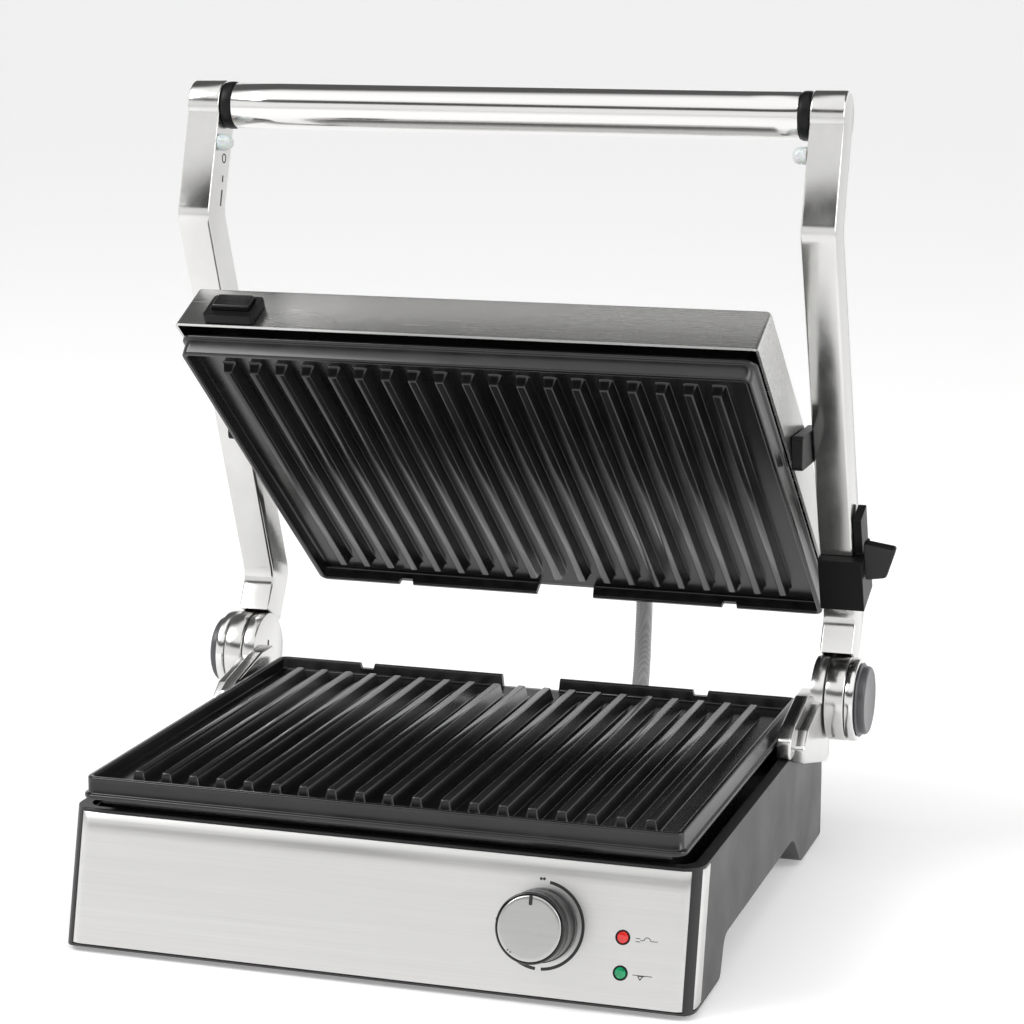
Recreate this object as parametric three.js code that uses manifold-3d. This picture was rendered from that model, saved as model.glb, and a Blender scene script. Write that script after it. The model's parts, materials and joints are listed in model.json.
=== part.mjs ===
// A contact grill (panini press): base, two cranked arms with a tube handle, and a levelling head.
// Millimetres, +Z up, the knob side faces -Y.
import * as THREE from "three";
import { mergeVertices } from "three/addons/utils/BufferGeometryUtils.js";
import Module from "manifold-3d";

const wasm = await Module();
wasm.setup();

// Driving sizes
const clearance = 0.3;
const plateWidth = 300;
const plateDepth = 252;
const plateCorner = 5;
const rimHeight = 85.15; // rim of the lower plate above the table
const rimWall = 3;
const baseSideMargin = 8.8; // base side beyond the plate rim
const baseFrontMargin = 12; // deck in front of the plate rim, at the foot of the panel
const baseRearMargin = 35;
const baseCorner = 10;
const deckDrop = 17.15; // deck below the plate's rim
const ledgeDrop = 18; // ledge under the deck tray, below the deck
const archHeight = 21;
const underside = 2.2; // foot rails above the table
const panelSlope = 0.249; // run over rise of the front panel
const panelSheet = 0.9;
const baseWall = 2.4;
const footPad = { width: 26, depth: 30, sunk: 2, inset: 6 };
const hinge = { y: plateDepth / 2 + 4.2, z: rimHeight + 0.3, discRadius: 22.5, discWidth: 7.4, hubRadius: 8 };
const armWidth = 18;
const armDepth = 22;
const armGap = 9.8; // plate rim to the arm's inner face
const elbow = { y: hinge.y + 22.3, z: hinge.z + 41.05 }; // low bend of the arms' centre line
const wrist = { y: hinge.y - 60.7, z: hinge.z + 256.05 }; // high bend
const handleAxis = { y: hinge.y - 42.4, z: hinge.z + 312.55 };
const handle = { radius: 12.2, wall: 1.5, headRadius: 13.2, ringWidth: 6 };
const bumper = { y: handleAxis.y - 12.8, z: handleAxis.z - 19, radius: 4.4, length: 7.5 };
const headTilt = THREE.MathUtils.degToRad(39.66); // head's slope, standing open
const head = { sideMargin: 3.3, skirt: 12.5, crown: 43.5, sheet: 1.4, corner: 4 };
const pivot = { y: hinge.y - 22.2, z: hinge.z + 144.05, pinRadius: 4 };
const pivotInHead = { y: plateDepth / 2 - 135.532, z: 35.158 }; // from the head's middle, level
const knob = { x: plateWidth / 2 - 66, z: 36, radius: 17.3, length: 17.6, capLength: 2.4, spindle: 3 };
const lamp = { x: plateWidth / 2 - 26.5, z: [34.5, 18.6], radius: 2.8, collar: 3.9 };
const rib = { count: 19, sideGap: 19.95, foot: 7.2, top: 3.8, endGap: 18, endSlope: 1.6, topDepth: 0.6 };
const floorDepth = 7; // rim down to the cooking surface
const plateThickness = 4;
const flangeDepth = 8.3; // rim down to the flange
const flange = { out: 1.8, thickness: 2.5 };
const tubDepth = 15; // rim down to the lowest edge of the plate
const tubInset = 6;
const drainGap = { width: 33, notchWidth: 8, notchX: plateWidth / 2 - 53.5, notchDepth: 3 };
const tray = { width: 84, depth: 62, height: 11, wall: 1.6 };
const element = { radius: 3.3, under: 1.6, sideGap: 46, endGap: 50, legGaps: [80, 40], leg: 22, pace: 9.467 };
const reflectorPan = { sideGap: 14, endGap: 38, height: 2.6, sheet: 0.8 };
// Sleeve with the head's wires
const leads = { radius: 4.7, x: tray.width / 2 + 12.8, y: plateDepth / 2 + 20, pace: 9.16 };
const slider = { wrap: 5.5, start: 14, blockEnd: 45, tongueEnd: 66, slotEnd: 80, tabReach: 16.4 };
const releaseButton = { x: -(plateWidth / 2 - 26.6), up: 12, width: 20, height: 11, stand: 8 };
const plinth = { low: 1.2, high: 20.5, margin: 3.7, thickness: 5 };

// Sizes that follow
const halfPlate = { x: plateWidth / 2, y: plateDepth / 2 };
const deckHeight = rimHeight - deckDrop;
const ledgeHeight = deckHeight - ledgeDrop;
const capRadius = hinge.discRadius - 4.1;
const baseHalf = plateWidth / 2 + baseSideMargin;
const panelFoot = -(plateDepth / 2 + baseFrontMargin + 1);
const panelLean = Math.atan(panelSlope);
const baseRear = plateDepth / 2 + baseRearMargin;
const armInner = plateWidth / 2 + armGap;
const armOuter = armInner + armWidth;
const trayTop = ledgeHeight + clearance;
const plateSeat = rimHeight - tubDepth - clearance;
const capEnd = armOuter + 10.4;
const headHalf = plateWidth / 2 + head.sideMargin;
const headMiddle = {
  y: pivot.y - pivotInHead.y * Math.cos(headTilt) - pivotInHead.z * Math.sin(headTilt),
  z: pivot.z + pivotInHead.y * Math.sin(headTilt) - pivotInHead.z * Math.cos(headTilt),
};
const legX = element.legGaps.map((gap) => halfPlate.x - gap);
const sides = [["left", -1], ["right", 1]];

// Materials
const finish = (color, roughness, metalness) => () =>
  new THREE.MeshStandardMaterial({ color, roughness, metalness });
const steel = finish(0xd4d3d0, 0.32, 1);
const castMetal = finish(0xb4b3af, 0.36, 1);
const polished = finish(0xc8c8c6, 0.2, 1);
const darkMetal = finish(0x55565a, 0.4, 0.9);
const plateCoating = finish(0x26262a, 0.42, 0.2);
const blackPlastic = finish(0x18181a, 0.5, 0);
const softBlack = finish(0x121214, 0.7, 0);
const rubber = finish(0x1a1a1a, 0.9, 0);
const greySleeve = finish(0x84868a, 0.7, 0);
const silicone = finish(0xe4e4de, 0.4, 0);
const ceramic = finish(0xd8d2c4, 0.7, 0);
const redLens = finish(0xc81e1a, 0.25, 0);
const greenLens = finish(0x2c9a3c, 0.25, 0);
const aluminised = finish(0x9a9b9c, 0.4, 1);

// Solids
const toSolid = (geometry) => {
  const plain = geometry.index ? geometry.toNonIndexed() : geometry.clone();
  for (const name of Object.keys(plain.attributes)) {
    if (name !== "position") plain.deleteAttribute(name);
  }
  const merged = mergeVertices(plain, 1e-4);
  const mesh = new wasm.Mesh({
    numProp: 3,
    vertProperties: merged.attributes.position.array,
    triVerts: new Uint32Array(merged.index.array),
  });
  return new wasm.Manifold(mesh);
};
const toGeometry = (solid) => {
  const mesh = solid.getMesh();
  const geometry = new THREE.BufferGeometry();
  geometry.setAttribute("position", new THREE.BufferAttribute(new Float32Array(mesh.vertProperties), 3));
  geometry.setIndex(new THREE.BufferAttribute(new Uint32Array(mesh.triVerts), 1));
  const flat = geometry.toNonIndexed();
  flat.computeVertexNormals();
  return flat;
};
const join = (...solids) => solids.reduce((all, one) => all.add(one));
const cut = (body, ...tools) => tools.reduce((rest, tool) => rest.subtract(tool), body);
const meshOf = (name, shape, material) => {
  const geometry = shape.isBufferGeometry ? shape : toGeometry(shape);
  const mesh = new THREE.Mesh(geometry, material());
  mesh.name = name;
  return mesh;
};
const groupOf = (...items) => {
  const group = new THREE.Group();
  group.add(...items);
  return group;
};

// Outlines
const outline = (points, radius = 0) => {
  const shape = new THREE.Shape();
  const count = points.length;
  points.forEach(([x, y, own], i) => {
    const here = new THREE.Vector2(x, y);
    const before = new THREE.Vector2(...points[(i + count - 1) % count].slice(0, 2)).sub(here);
    const after = new THREE.Vector2(...points[(i + 1) % count].slice(0, 2)).sub(here);
    const wanted = own ?? radius;
    const reach = Math.min(wanted, before.length() * 0.45, after.length() * 0.45);
    const start = here.clone().addScaledVector(before.normalize(), reach);
    const end = here.clone().addScaledVector(after.normalize(), reach);
    if (i === 0) shape.moveTo(start.x, start.y);
    else shape.lineTo(start.x, start.y);
    if (reach > 0) shape.quadraticCurveTo(x, y, end.x, end.y);
  });
  shape.closePath();
  return shape;
};
const rectangle = (x0, y0, x1, y1, radius) => outline([[x0, y0], [x1, y0], [x1, y1], [x0, y1]], radius);
const disc = (x, y, radius) => new THREE.Shape().absarc(x, y, radius, 0, 2 * Math.PI, false);
// Points moved inwards from each edge of an outline that runs anticlockwise.
const inset = (points, amount) => {
  const count = points.length;
  const lines = points.map(([x, y], i) => {
    const [x2, y2] = points[(i + 1) % count];
    const length = Math.hypot(x2 - x, y2 - y);
    const run = [(x2 - x) / length, (y2 - y) / length];
    return { at: [x - run[1] * amount, y + run[0] * amount], run };
  });
  return points.map((point, i) => {
    const a = lines[(i + count - 1) % count];
    const b = lines[i];
    const turn = a.run[0] * b.run[1] - a.run[1] * b.run[0];
    const t = ((b.at[0] - a.at[0]) * b.run[1] - (b.at[1] - a.at[1]) * b.run[0]) / turn;
    return [a.at[0] + a.run[0] * t, a.at[1] + a.run[1] * t, point[2]];
  });
};

const extrude = (shape, depth, segments = 4) =>
  new THREE.ExtrudeGeometry(shape, { depth, bevelEnabled: false, curveSegments: segments });
const alongZ = (shape, z0, z1, segments) => toSolid(extrude(shape, z1 - z0, segments).translate(0, 0, z0));
// The outline is drawn in Y and Z.
const yzToWorld = new THREE.Matrix4().set(0, 0, 1, 0, 1, 0, 0, 0, 0, 1, 0, 0, 0, 0, 0, 1);
const alongX = (shape, x0, x1, segments) =>
  toSolid(extrude(shape, x1 - x0, segments).translate(0, 0, x0).applyMatrix4(yzToWorld));
const box = (x0, y0, z0, x1, y1, z1) =>
  toSolid(new THREE.BoxGeometry(x1 - x0, y1 - y0, z1 - z0)
    .translate((x0 + x1) / 2, (y0 + y1) / 2, (z0 + z1) / 2));
const rodX = (x0, x1, y, z, radius, segments = 8) => alongX(disc(y, z, radius), x0, x1, segments);
const mirrored = (side, near, far) => (side > 0 ? [near, far] : [-far, -near]);
// Leans a plan shape back with height, as the front panel does.
const leaned = new THREE.Matrix4().set(1, 0, 0, 0, 0, 1, panelSlope, 0, 0, 0, 1, 0, 0, 0, 0, 1);
const leaningPlan = (shape, z0, z1, segments) =>
  toSolid(extrude(shape, z1 - z0, segments).translate(0, 0, z0).applyMatrix4(leaned));
const panelFace = (z) => panelFoot + panelSlope * z;
const turned = (solid, matrix) => toSolid(toGeometry(solid).applyMatrix4(matrix));
// Places a shape drawn along +Z so that it stands out of the front panel at x, z.
const onPanel = (x, z) =>
  new THREE.Matrix4()
    .makeTranslation(x, panelFace(z), z)
    .multiply(new THREE.Matrix4().makeRotationX(Math.PI / 2 - panelLean));
const tubeAlong = (points, radius, pace, sidesCount = 8) => {
  const path = new THREE.CatmullRomCurve3(points.map((p) => new THREE.Vector3(...p)), false, "centripetal");
  const section = new THREE.Shape();
  for (let i = 0; i < sidesCount; i++) {
    const angle = (2 * Math.PI * i) / sidesCount;
    const corner = [radius * Math.cos(angle), radius * Math.sin(angle)];
    if (i === 0) section.moveTo(...corner);
    else section.lineTo(...corner);
  }
  section.closePath();
  const steps = Math.round(path.getLength() / pace);
  return toSolid(new THREE.ExtrudeGeometry(section, { steps, extrudePath: path, bevelEnabled: false }));
};

// Grill plate in its own frame: rim in the plane Z = 0, food side up, drain gap towards +Y.
function grillPlate(name) {
  const { x: halfW, y: halfD } = halfPlate;
  const plan = (grow, radius) =>
    rectangle(-halfW - grow, -halfD - grow, halfW + grow, halfD + grow, radius);
  const flangeLow = -flangeDepth - flange.thickness;
  const rimBody = alongZ(plan(0, plateCorner), flangeLow, 0, 5);
  const lip = alongZ(plan(flange.out, plateCorner + flange.out), flangeLow, -flangeDepth, 5);
  const tub = alongZ(plan(-tubInset, plateCorner), -tubDepth, -flangeDepth, 4);
  const well = alongZ(plan(-rimWall, plateCorner - rimWall), -floorDepth, 1, 4);
  const underPlan = plan(-tubInset - rimWall, plateCorner - rimWall);
  const under = alongZ(underPlan, -tubDepth - 1, -floorDepth - plateThickness, 4);
  const rimCut = (x0, x1, depth) => box(x0, halfD - 2 * rimWall, -depth, x1, halfD + 1, 1);
  const gapTool = rimCut(-drainGap.width / 2, drainGap.width / 2, floorDepth);
  const notches = [-1, 1].map((side) => {
    const middle = side * drainGap.notchX;
    const reach = drainGap.notchWidth / 2;
    return rimCut(middle - reach, middle + reach, drainGap.notchDepth);
  });
  const shell = cut(join(rimBody, lip, tub), well, under, gapTool, ...notches);
  const ribLength = halfD - rib.endGap;
  const pitch = (plateWidth - 2 * rib.sideGap) / (rib.count - 1);
  const ribs = Array.from({ length: rib.count }, (_, i) => {
    const middle = (i - (rib.count - 1) / 2) * pitch;
    const sunk = floorDepth + plateThickness / 2;
    const section = outline([
      [middle - rib.foot / 2, -sunk],
      [middle + rib.foot / 2, -sunk],
      [middle + rib.foot / 2, -floorDepth],
      [middle + rib.top / 2, -rib.topDepth],
      [middle - rib.top / 2, -rib.topDepth],
      [middle - rib.foot / 2, -floorDepth],
    ]);
    return toSolid(
      extrude(section, 2 * ribLength).translate(0, 0, -ribLength).rotateX(Math.PI / 2),
    );
  });
  // Both ends of the ribs slope down to the floor.
  const ends = [-1, 1].map((side) => {
    const tip = side * ribLength;
    const beyond = tip + side * rib.endGap;
    const corners = [
      [tip, -floorDepth],
      [beyond, -floorDepth],
      [beyond, 2],
      [tip - side * rib.endSlope * 2, 2],
      [tip - side * rib.endSlope, -rib.topDepth],
    ];
    return alongX(outline(side > 0 ? corners : corners.reverse()), -halfW, halfW);
  });
  const ribBlock = cut(join(...ribs), ...ends);
  return meshOf(name, join(shell, ribBlock), plateCoating);
}

// Base
const rearLean = 11;
const rearFace = (z) => baseRear - (rearLean * (z - underside)) / (ledgeHeight - underside);
const baseProfile = () => [
  [panelFace(underside), underside, 1.5],
  [-halfPlate.y + 41.5, underside, 3],
  [-halfPlate.y + 50, archHeight, 6],
  [halfPlate.y - 47, archHeight, 6],
  [halfPlate.y - 28, underside, 4],
  [baseRear, underside, 2],
  [baseRear - rearLean, ledgeHeight, 6],
  [halfPlate.y + 0.5, deckHeight, 8],
  [panelFace(deckHeight), deckHeight, 1],
];
const footPlaces = [
  ["front_left", -1, panelFoot + 24],
  ["front_right", 1, panelFoot + 24],
  ["rear_left", -1, baseRear - 27],
  ["rear_right", 1, baseRear - 27],
];
const footOutline = (side, y, grow = 0) => {
  const x = side * (baseHalf - footPad.width / 2 - footPad.inset);
  const reachX = footPad.width / 2 + grow;
  const reachY = footPad.depth / 2 + grow;
  return rectangle(x - reachX, y - reachY, x + reachX, y + reachY, 5);
};
const cover = { x: halfPlate.x - 11, front: -halfPlate.y + 58, rear: halfPlate.y - 52, thickness: 2 };
const screw = { inset: 5, shank: 1.5, head: 3.2, length: 9, headHeight: 1.6 };
const coverScrews = [cover.front + screw.inset + 2, cover.rear - screw.inset - 2]
  .flatMap((y) => [-1, 1].map((side) => [side * (cover.x - screw.inset), y]));
const traySlot = {
  half: tray.width / 2 + 1.2,
  floor: archHeight + 3.4,
  top: archHeight + 3.4 + tray.height + 2,
  inner: baseRear - 8 - tray.depth,
};
const glandHeight = 36;
const glandPlace = { x: -halfPlate.x + 40, y: rearFace(glandHeight) + 2.28, z: glandHeight, bore: 6.3 };
const lampMiddle = (lamp.z[0] + lamp.z[1]) / 2;
const deckRim = { side: 5.3, front: 4.2, rear: 0.5, corner: 10 };
const deckOutline = (fit) => rectangle(
  -baseHalf + deckRim.side + fit,
  panelFace(deckHeight) + deckRim.front + fit,
  baseHalf - deckRim.side - fit,
  halfPlate.y - deckRim.rear - fit,
  deckRim.corner,
);
const spindleHole = 5.5;
const lampRoom = { x: 9.5, y: 15.5 };
const bayWall = 1.8;
const vents = { count: 9, pitch: 20, width: 6, reach: halfPlate.y - 96 };
const screwHoles = (low, high) =>
  coverScrews.map(([x, y]) => alongZ(disc(x, y, screw.shank + 0.4), low, high, 4));
const panelHoles = (low, high) => [
  turned(alongZ(disc(0, 0, spindleHole), low, high, 6), onPanel(knob.x, knob.z)),
  ...lamp.z.map((z) =>
    turned(alongZ(disc(0, 0, lamp.radius + clearance), low, high, 5), onPanel(lamp.x, z))),
];

function baseHousing() {
  const high = deckHeight + 1;
  const side = alongX(outline(baseProfile()), -baseHalf, baseHalf, 3);
  const frontPlan = rectangle(-baseHalf, panelFoot, baseHalf, baseRear + 40, baseCorner);
  const rearPlan = rectangle(-baseHalf, panelFoot - 60, baseHalf, baseRear, baseCorner + 2);
  const outside = side
    .intersect(leaningPlan(frontPlan, -1, high, 5))
    .intersect(alongZ(rearPlan, -1, high, 5));
  const lining = panelSheet + clearance + baseWall;
  const cavityRun = outline([
    [panelFace(archHeight) + lining, archHeight + 3],
    [baseRear - 5 - baseWall, archHeight + 3],
    [baseRear - 9 - baseWall, ledgeHeight - 3],
    [panelFace(ledgeHeight) + lining, ledgeHeight - 3],
  ], 2);
  const cavity = alongX(cavityRun, -baseHalf + 3, baseHalf - 3, 2);
  const throatPlan = rectangle(-baseHalf + 9, panelFace(ledgeHeight) + 9, baseHalf - 9, halfPlate.y - 6, 8);
  const throat = alongZ(throatPlan, ledgeHeight - 4, ledgeHeight + 1);
  const recess = alongZ(deckOutline(0), ledgeHeight, deckHeight + 2, 5);
  const serviceX = cover.x - 13;
  const service = box(-serviceX, cover.front + 10, archHeight - 2, serviceX, cover.rear - 10, archHeight + 5);
  const pocketX = halfPlate.x - 38;
  const frontPocket = box(-pocketX, panelFace(0) + 7, -1, pocketX, -halfPlate.y + 38, archHeight - 1);
  const rearPocket = box(-pocketX, halfPlate.y - 20, -1, pocketX, baseRear - 7, archHeight - 1);
  const pads = footPlaces.map(([, s, y]) =>
    alongZ(footOutline(s, y, clearance), -1, underside + footPad.sunk));
  const screws = screwHoles(archHeight - 1, archHeight + 5);
  const slot = box(-traySlot.half, traySlot.inner, traySlot.floor, traySlot.half, baseRear + 5, traySlot.top);
  const drainHalf = drainGap.width / 2 + 0.5;
  const drainPlan = rectangle(-drainHalf, halfPlate.y + 2, drainHalf, halfPlate.y + 12, 4);
  const drain = alongZ(drainPlan, traySlot.top - 3, deckHeight + 3);
  const sleeveHole = alongZ(disc(leads.x, leads.y, leads.radius + 1), ledgeHeight - 6, deckHeight, 5);
  const glandHole = toSolid(new THREE.CylinderGeometry(glandPlace.bore, glandPlace.bore, 30, 16)
    .translate(glandPlace.x, glandPlace.y - 4, glandPlace.z));
  const lampPocket = turned(
    box(-lampRoom.x, -lampRoom.y, -20, lampRoom.x, lampRoom.y, -3.6), onPanel(lamp.x, lampMiddle));
  const panelRoom = panelSheetAlong(panelSheet + clearance, clearance);
  const shell = cut(outside, panelRoom, cavity, throat, recess, service, frontPocket, rearPocket, ...pads,
    ...screws, ...panelHoles(-14, 8), lampPocket, sleeveHole, glandHole);
  // Walls that keep the drip tray's bay apart from the wiring.
  const bayTop = ledgeHeight - 2;
  const bayHalf = traySlot.half + bayWall;
  const bay = cut(
    box(-bayHalf, traySlot.inner - bayWall, archHeight + 2, bayHalf, baseRear - 12, bayTop),
    box(-traySlot.half, traySlot.inner, traySlot.floor, traySlot.half, baseRear, bayTop + 1),
  );
  return meshOf("base_housing", cut(join(shell, bay), slot, drain), blackPlastic);
}

// The steel sheet across the front and round both corners, grown by a margin at its edges.
function panelSheetAlong(thickness, margin) {
  const radius = baseCorner;
  const bend = panelFoot + radius;
  const end = bend + 6 + margin;
  const strip = new THREE.Shape();
  strip.moveTo(-baseHalf - margin, end);
  strip.lineTo(-baseHalf - margin, bend);
  strip.absarc(-baseHalf + radius, bend, radius + margin, Math.PI, 1.5 * Math.PI, false);
  strip.absarc(baseHalf - radius, bend, radius + margin, 1.5 * Math.PI, 2 * Math.PI, false);
  strip.lineTo(baseHalf + margin, end);
  strip.lineTo(baseHalf - thickness, end);
  strip.absarc(baseHalf - radius, bend, radius - thickness, 0, -0.5 * Math.PI, true);
  strip.absarc(-baseHalf + radius, bend, radius - thickness, -0.5 * Math.PI, -Math.PI, true);
  strip.lineTo(-baseHalf + thickness, end);
  strip.closePath();
  return leaningPlan(strip, underside + 1.6 - margin, deckHeight - 1.6 + margin, 6);
}

function frontPanel() {
  return meshOf("front_panel", cut(panelSheetAlong(panelSheet, 0), ...panelHoles(-6, 8)), steel);
}

function bottomCover() {
  const plan = rectangle(-cover.x, cover.front, cover.x, cover.rear, 5);
  const plate = alongZ(plan, archHeight - clearance - cover.thickness, archHeight - clearance);
  const { count, pitch, width, reach } = vents;
  const slots = Array.from({ length: count }, (_, i) => {
    const middle = (i - (count - 1) / 2) * pitch;
    return box(middle - width / 2, -reach, archHeight - 10, middle + width / 2, reach, archHeight + 10);
  });
  return meshOf("bottom_cover", cut(plate, ...slots, ...screwHoles(10, 30)), blackPlastic);
}

function coverScrew(name, x, y) {
  const top = archHeight + 6;
  const low = archHeight - clearance - cover.thickness;
  const shank = alongZ(disc(x, y, screw.shank), top - screw.length, top, 4);
  const headDisc = alongZ(disc(x, y, screw.head), low - screw.headHeight - clearance, low - clearance, 4);
  return meshOf(name, join(shank, headDisc), steel);
}

function foot(name, side, y) {
  return meshOf(name, alongZ(footOutline(side, y), 0, underside + footPad.sunk - clearance, 3), rubber);
}

const legY = halfPlate.y - element.endGap;
const legHoles = (z0, z1) => legX.map((x) => alongZ(disc(x, legY, element.radius + 2), z0, z1, 4));

// Black pan in the top of the base, with a raised ridge that carries the plate's tub.
function deckTray() {
  const wall = 1.7;
  const outside = alongZ(deckOutline(clearance), trayTop, deckHeight - 2, 5);
  const inside = alongZ(deckOutline(clearance + wall), trayTop + wall, deckHeight, 4);
  const ridgeHalf = halfPlate.x - tubInset;
  const ridgeFront = panelFace(deckHeight) + deckRim.front + clearance + 3;
  const ridgeBack = halfPlate.y - tubInset;
  const ridgePlan = (inner, radius) =>
    rectangle(-ridgeHalf + inner, ridgeFront + inner, ridgeHalf - inner, ridgeBack - inner, radius);
  const ridge = cut(
    alongZ(ridgePlan(0, 8), trayTop, plateSeat, 3),
    alongZ(ridgePlan(3, 6), trayTop + wall, plateSeat + 1, 3),
  );
  const holes = legHoles(trayTop - 10, trayTop + 10);
  return meshOf("deck_tray", cut(join(cut(outside, inside), ridge), ...holes), blackPlastic);
}

// Shallow reflector pan, standing on Z = 0.
function reflector(name) {
  const { height, sheet } = reflectorPan;
  const x = halfPlate.x - reflectorPan.sideGap;
  const y = halfPlate.y - reflectorPan.endGap;
  const pan = cut(
    alongZ(rectangle(-x, -y, x, y, 10), 0, height),
    alongZ(rectangle(-x + sheet, -y + sheet, x - sheet, y - sheet, 9), sheet, height + 1),
    ...legHoles(-1, height + 1),
  );
  return meshOf(name, pan, aluminised);
}

// Heater tube in a flat loop about Z = 0, with two legs that go down through the reflector.
function heatingElement(name) {
  const { leg, radius } = element;
  const halfWidth = halfPlate.x - element.sideGap;
  const halfDepth = legY;
  const points = [
    [legX[1], halfDepth, -leg], [legX[1], halfDepth, -6], [legX[1] - 1, halfDepth - 9, 0],
    [halfWidth, halfDepth - 40, 0], [halfWidth, -halfDepth + 34, 0], [halfWidth - 22, -halfDepth, 0],
    [-halfWidth + 22, -halfDepth, 0], [-halfWidth, -halfDepth + 34, 0], [-halfWidth, halfDepth - 34, 0],
    [-halfWidth + 22, halfDepth, 0], [0, halfDepth, 0], [legX[0] - 16, halfDepth - 34, 0],
    [legX[0] - 1, halfDepth - 9, 0], [legX[0], halfDepth, -6], [legX[0], halfDepth, -leg],
  ];
  return meshOf(name, tubeAlong(points, radius, element.pace), darkMetal);
}

function thermostat() {
  const bore = alongZ(disc(0, 0, knob.spindle + clearance), -13, -3, 4);
  const bodySolid = cut(box(-12, -6.5, -20, 12, 9, -4.2), bore);
  const bodyMesh = meshOf("thermostat_body", bodySolid, ceramic);
  onPanel(knob.x, knob.z).decompose(bodyMesh.position, bodyMesh.quaternion, bodyMesh.scale);
  return bodyMesh;
}

function knobParts() {
  const bore = alongZ(disc(0, 0, knob.spindle + clearance), 0, knob.length - 3, 4);
  const { radius, length, capLength } = knob;
  const capEdge = radius - 1;
  const profile = [
    [0, 0.8], [radius, 0.8], [radius, 3.2], [radius - 0.5, length - 1.2], [radius - 1.5, length], [0, length],
  ];
  const capProfile = [
    [0, 0], [capEdge - 0.2, 0], [capEdge, 0.3], [capEdge, capLength - 0.7], [capEdge - 0.8, capLength],
    [0, capLength],
  ];
  const round = (points, start) => {
    const line = points.map(([r, z]) => new THREE.Vector2(r, z + start));
    return toSolid(new THREE.LatheGeometry(line, 40).rotateX(Math.PI / 2));
  };
  const grip = round(profile, 0);
  const cap = round(capProfile, length + clearance);
  const spindle = alongZ(disc(0, 0, knob.spindle), -12, knob.length - 3.4, 4);
  const parts = groupOf(
    meshOf("knob_body", cut(grip, bore), softBlack),
    meshOf("knob_cap", cap, steel),
    meshOf("thermostat_spindle", spindle, darkMetal),
  );
  onPanel(knob.x, knob.z).decompose(parts.position, parts.quaternion, parts.scale);
  return parts;
}

function lampParts() {
  const lenses = ["power_lamp_lens", "ready_lamp_lens"].map((name, i) => {
    const front = alongZ(disc(0, 0, lamp.radius), -5, 0.8, 4);
    const body = join(front, alongZ(disc(0, 0, lamp.collar), -6.2, -4.2, 4));
    const lens = meshOf(name, body, [redLens, greenLens][i]);
    onPanel(lamp.x, lamp.z[i]).decompose(lens.position, lens.quaternion, lens.scale);
    return lens;
  });
  const holder = meshOf("lamp_holder", box(-8.5, -14, -17, 8.5, 14, -6.5), ceramic);
  onPanel(lamp.x, lampMiddle).decompose(holder.position, holder.quaternion, holder.scale);
  return groupOf(...lenses, holder);
}

function terminalBlock() {
  const x = -halfPlate.x + 38;
  const y = halfPlate.y - 42;
  const z = archHeight + 3.4;
  const block = box(x, y, z, x + 48, y + 14, z + 11.6);
  const ports = Array.from({ length: 4 }, (_, i) => {
    const start = x + 4 + i * 11;
    return box(start, y - 4, z + 4.6, start + 6, y + 16, z + 8.6);
  });
  return meshOf("terminal_block", cut(block, ...ports), ceramic);
}

function cordGland() {
  const bore = 3.6;
  const profile = [
    [bore, -16], [6, -16], [6, 0.4], [8.6, 0.4], [8.6, 4.4], [6.6, 6], [4.8, 20], [bore, 20], [bore, -16],
  ];
  const points = profile.map(([r, y]) => new THREE.Vector2(r, y));
  const gland = meshOf("cord_gland", new THREE.LatheGeometry(points, 20), softBlack);
  gland.position.set(glandPlace.x, glandPlace.y, glandPlace.z);
  return gland;
}

function dripTray() {
  const half = tray.width / 2;
  const { inner, floor } = traySlot;
  const low = floor + 0.5;
  const back = inner + 1;
  const front = baseRear - 6.5;
  const pan = cut(
    alongZ(rectangle(-half, back, half, front, 5), low, low + tray.height),
    alongZ(rectangle(-half + tray.wall, back + tray.wall, half - tray.wall, front - tray.wall, 4),
      low + tray.wall, low + tray.height + 1),
  );
  const grip = box(-22, front - 1, low + tray.height - 3.2, 22, front + 6.5, low + tray.height);
  return meshOf("drip_tray", join(pan, grip), blackPlastic);
}

// Hinges
const bracketNear = baseHalf + 0.6;
const bracketFar = bracketNear + hinge.discWidth;
const ringStart = bracketFar + 0.6;
const discFar = armOuter + 5.2;
const hubBore = (side) =>
  rodX(...mirrored(side, armInner - 60, capEnd + 40), hinge.y, hinge.z, hinge.hubRadius + clearance, 6);

function hingeBracket(name, side) {
  const { y, z, discRadius } = hinge;
  const round = rodX(...mirrored(side, bracketNear, bracketFar), y, z, discRadius, 9);
  const seat = deckHeight + clearance;
  const leg = outline([
    [y - 64, z - 19.4], [y - 6, z - 34.4], [y + 2, z - 34.4], [y + 2, z - 22], [y + 14, z - 8],
    [y, z + 5], [y - 26, z + 2.6], [y - 56, z - 3.4], [y - 66, z - 11.4],
  ], 3);
  const saddle = outline([
    [y - 70, seat], [y - 6, seat], [y - 6, z + 6.5], [y - 26, z + 6.5], [y - 60, z - 1], [y - 70, z - 6],
  ], 3);
  const made = cut(
    join(round,
      alongX(leg, ...mirrored(side, baseHalf + clearance, bracketFar)),
      alongX(saddle, ...mirrored(side, plateWidth / 2 + flange.out + 0.7, bracketNear + 1))),
    hubBore(side));
  return meshOf(name, made, castMetal);
}

const hingeHub = (name, side) => meshOf(name,
  rodX(...mirrored(side, bracketNear + 0.6, discFar - 0.5), hinge.y, hinge.z, hinge.hubRadius, 6), steel);

function hingeDisc(name, side) {
  const round = rodX(...mirrored(side, armOuter + clearance, discFar), hinge.y, hinge.z, hinge.discRadius, 9);
  return meshOf(name, cut(round, hubBore(side)), polished);
}

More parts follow.
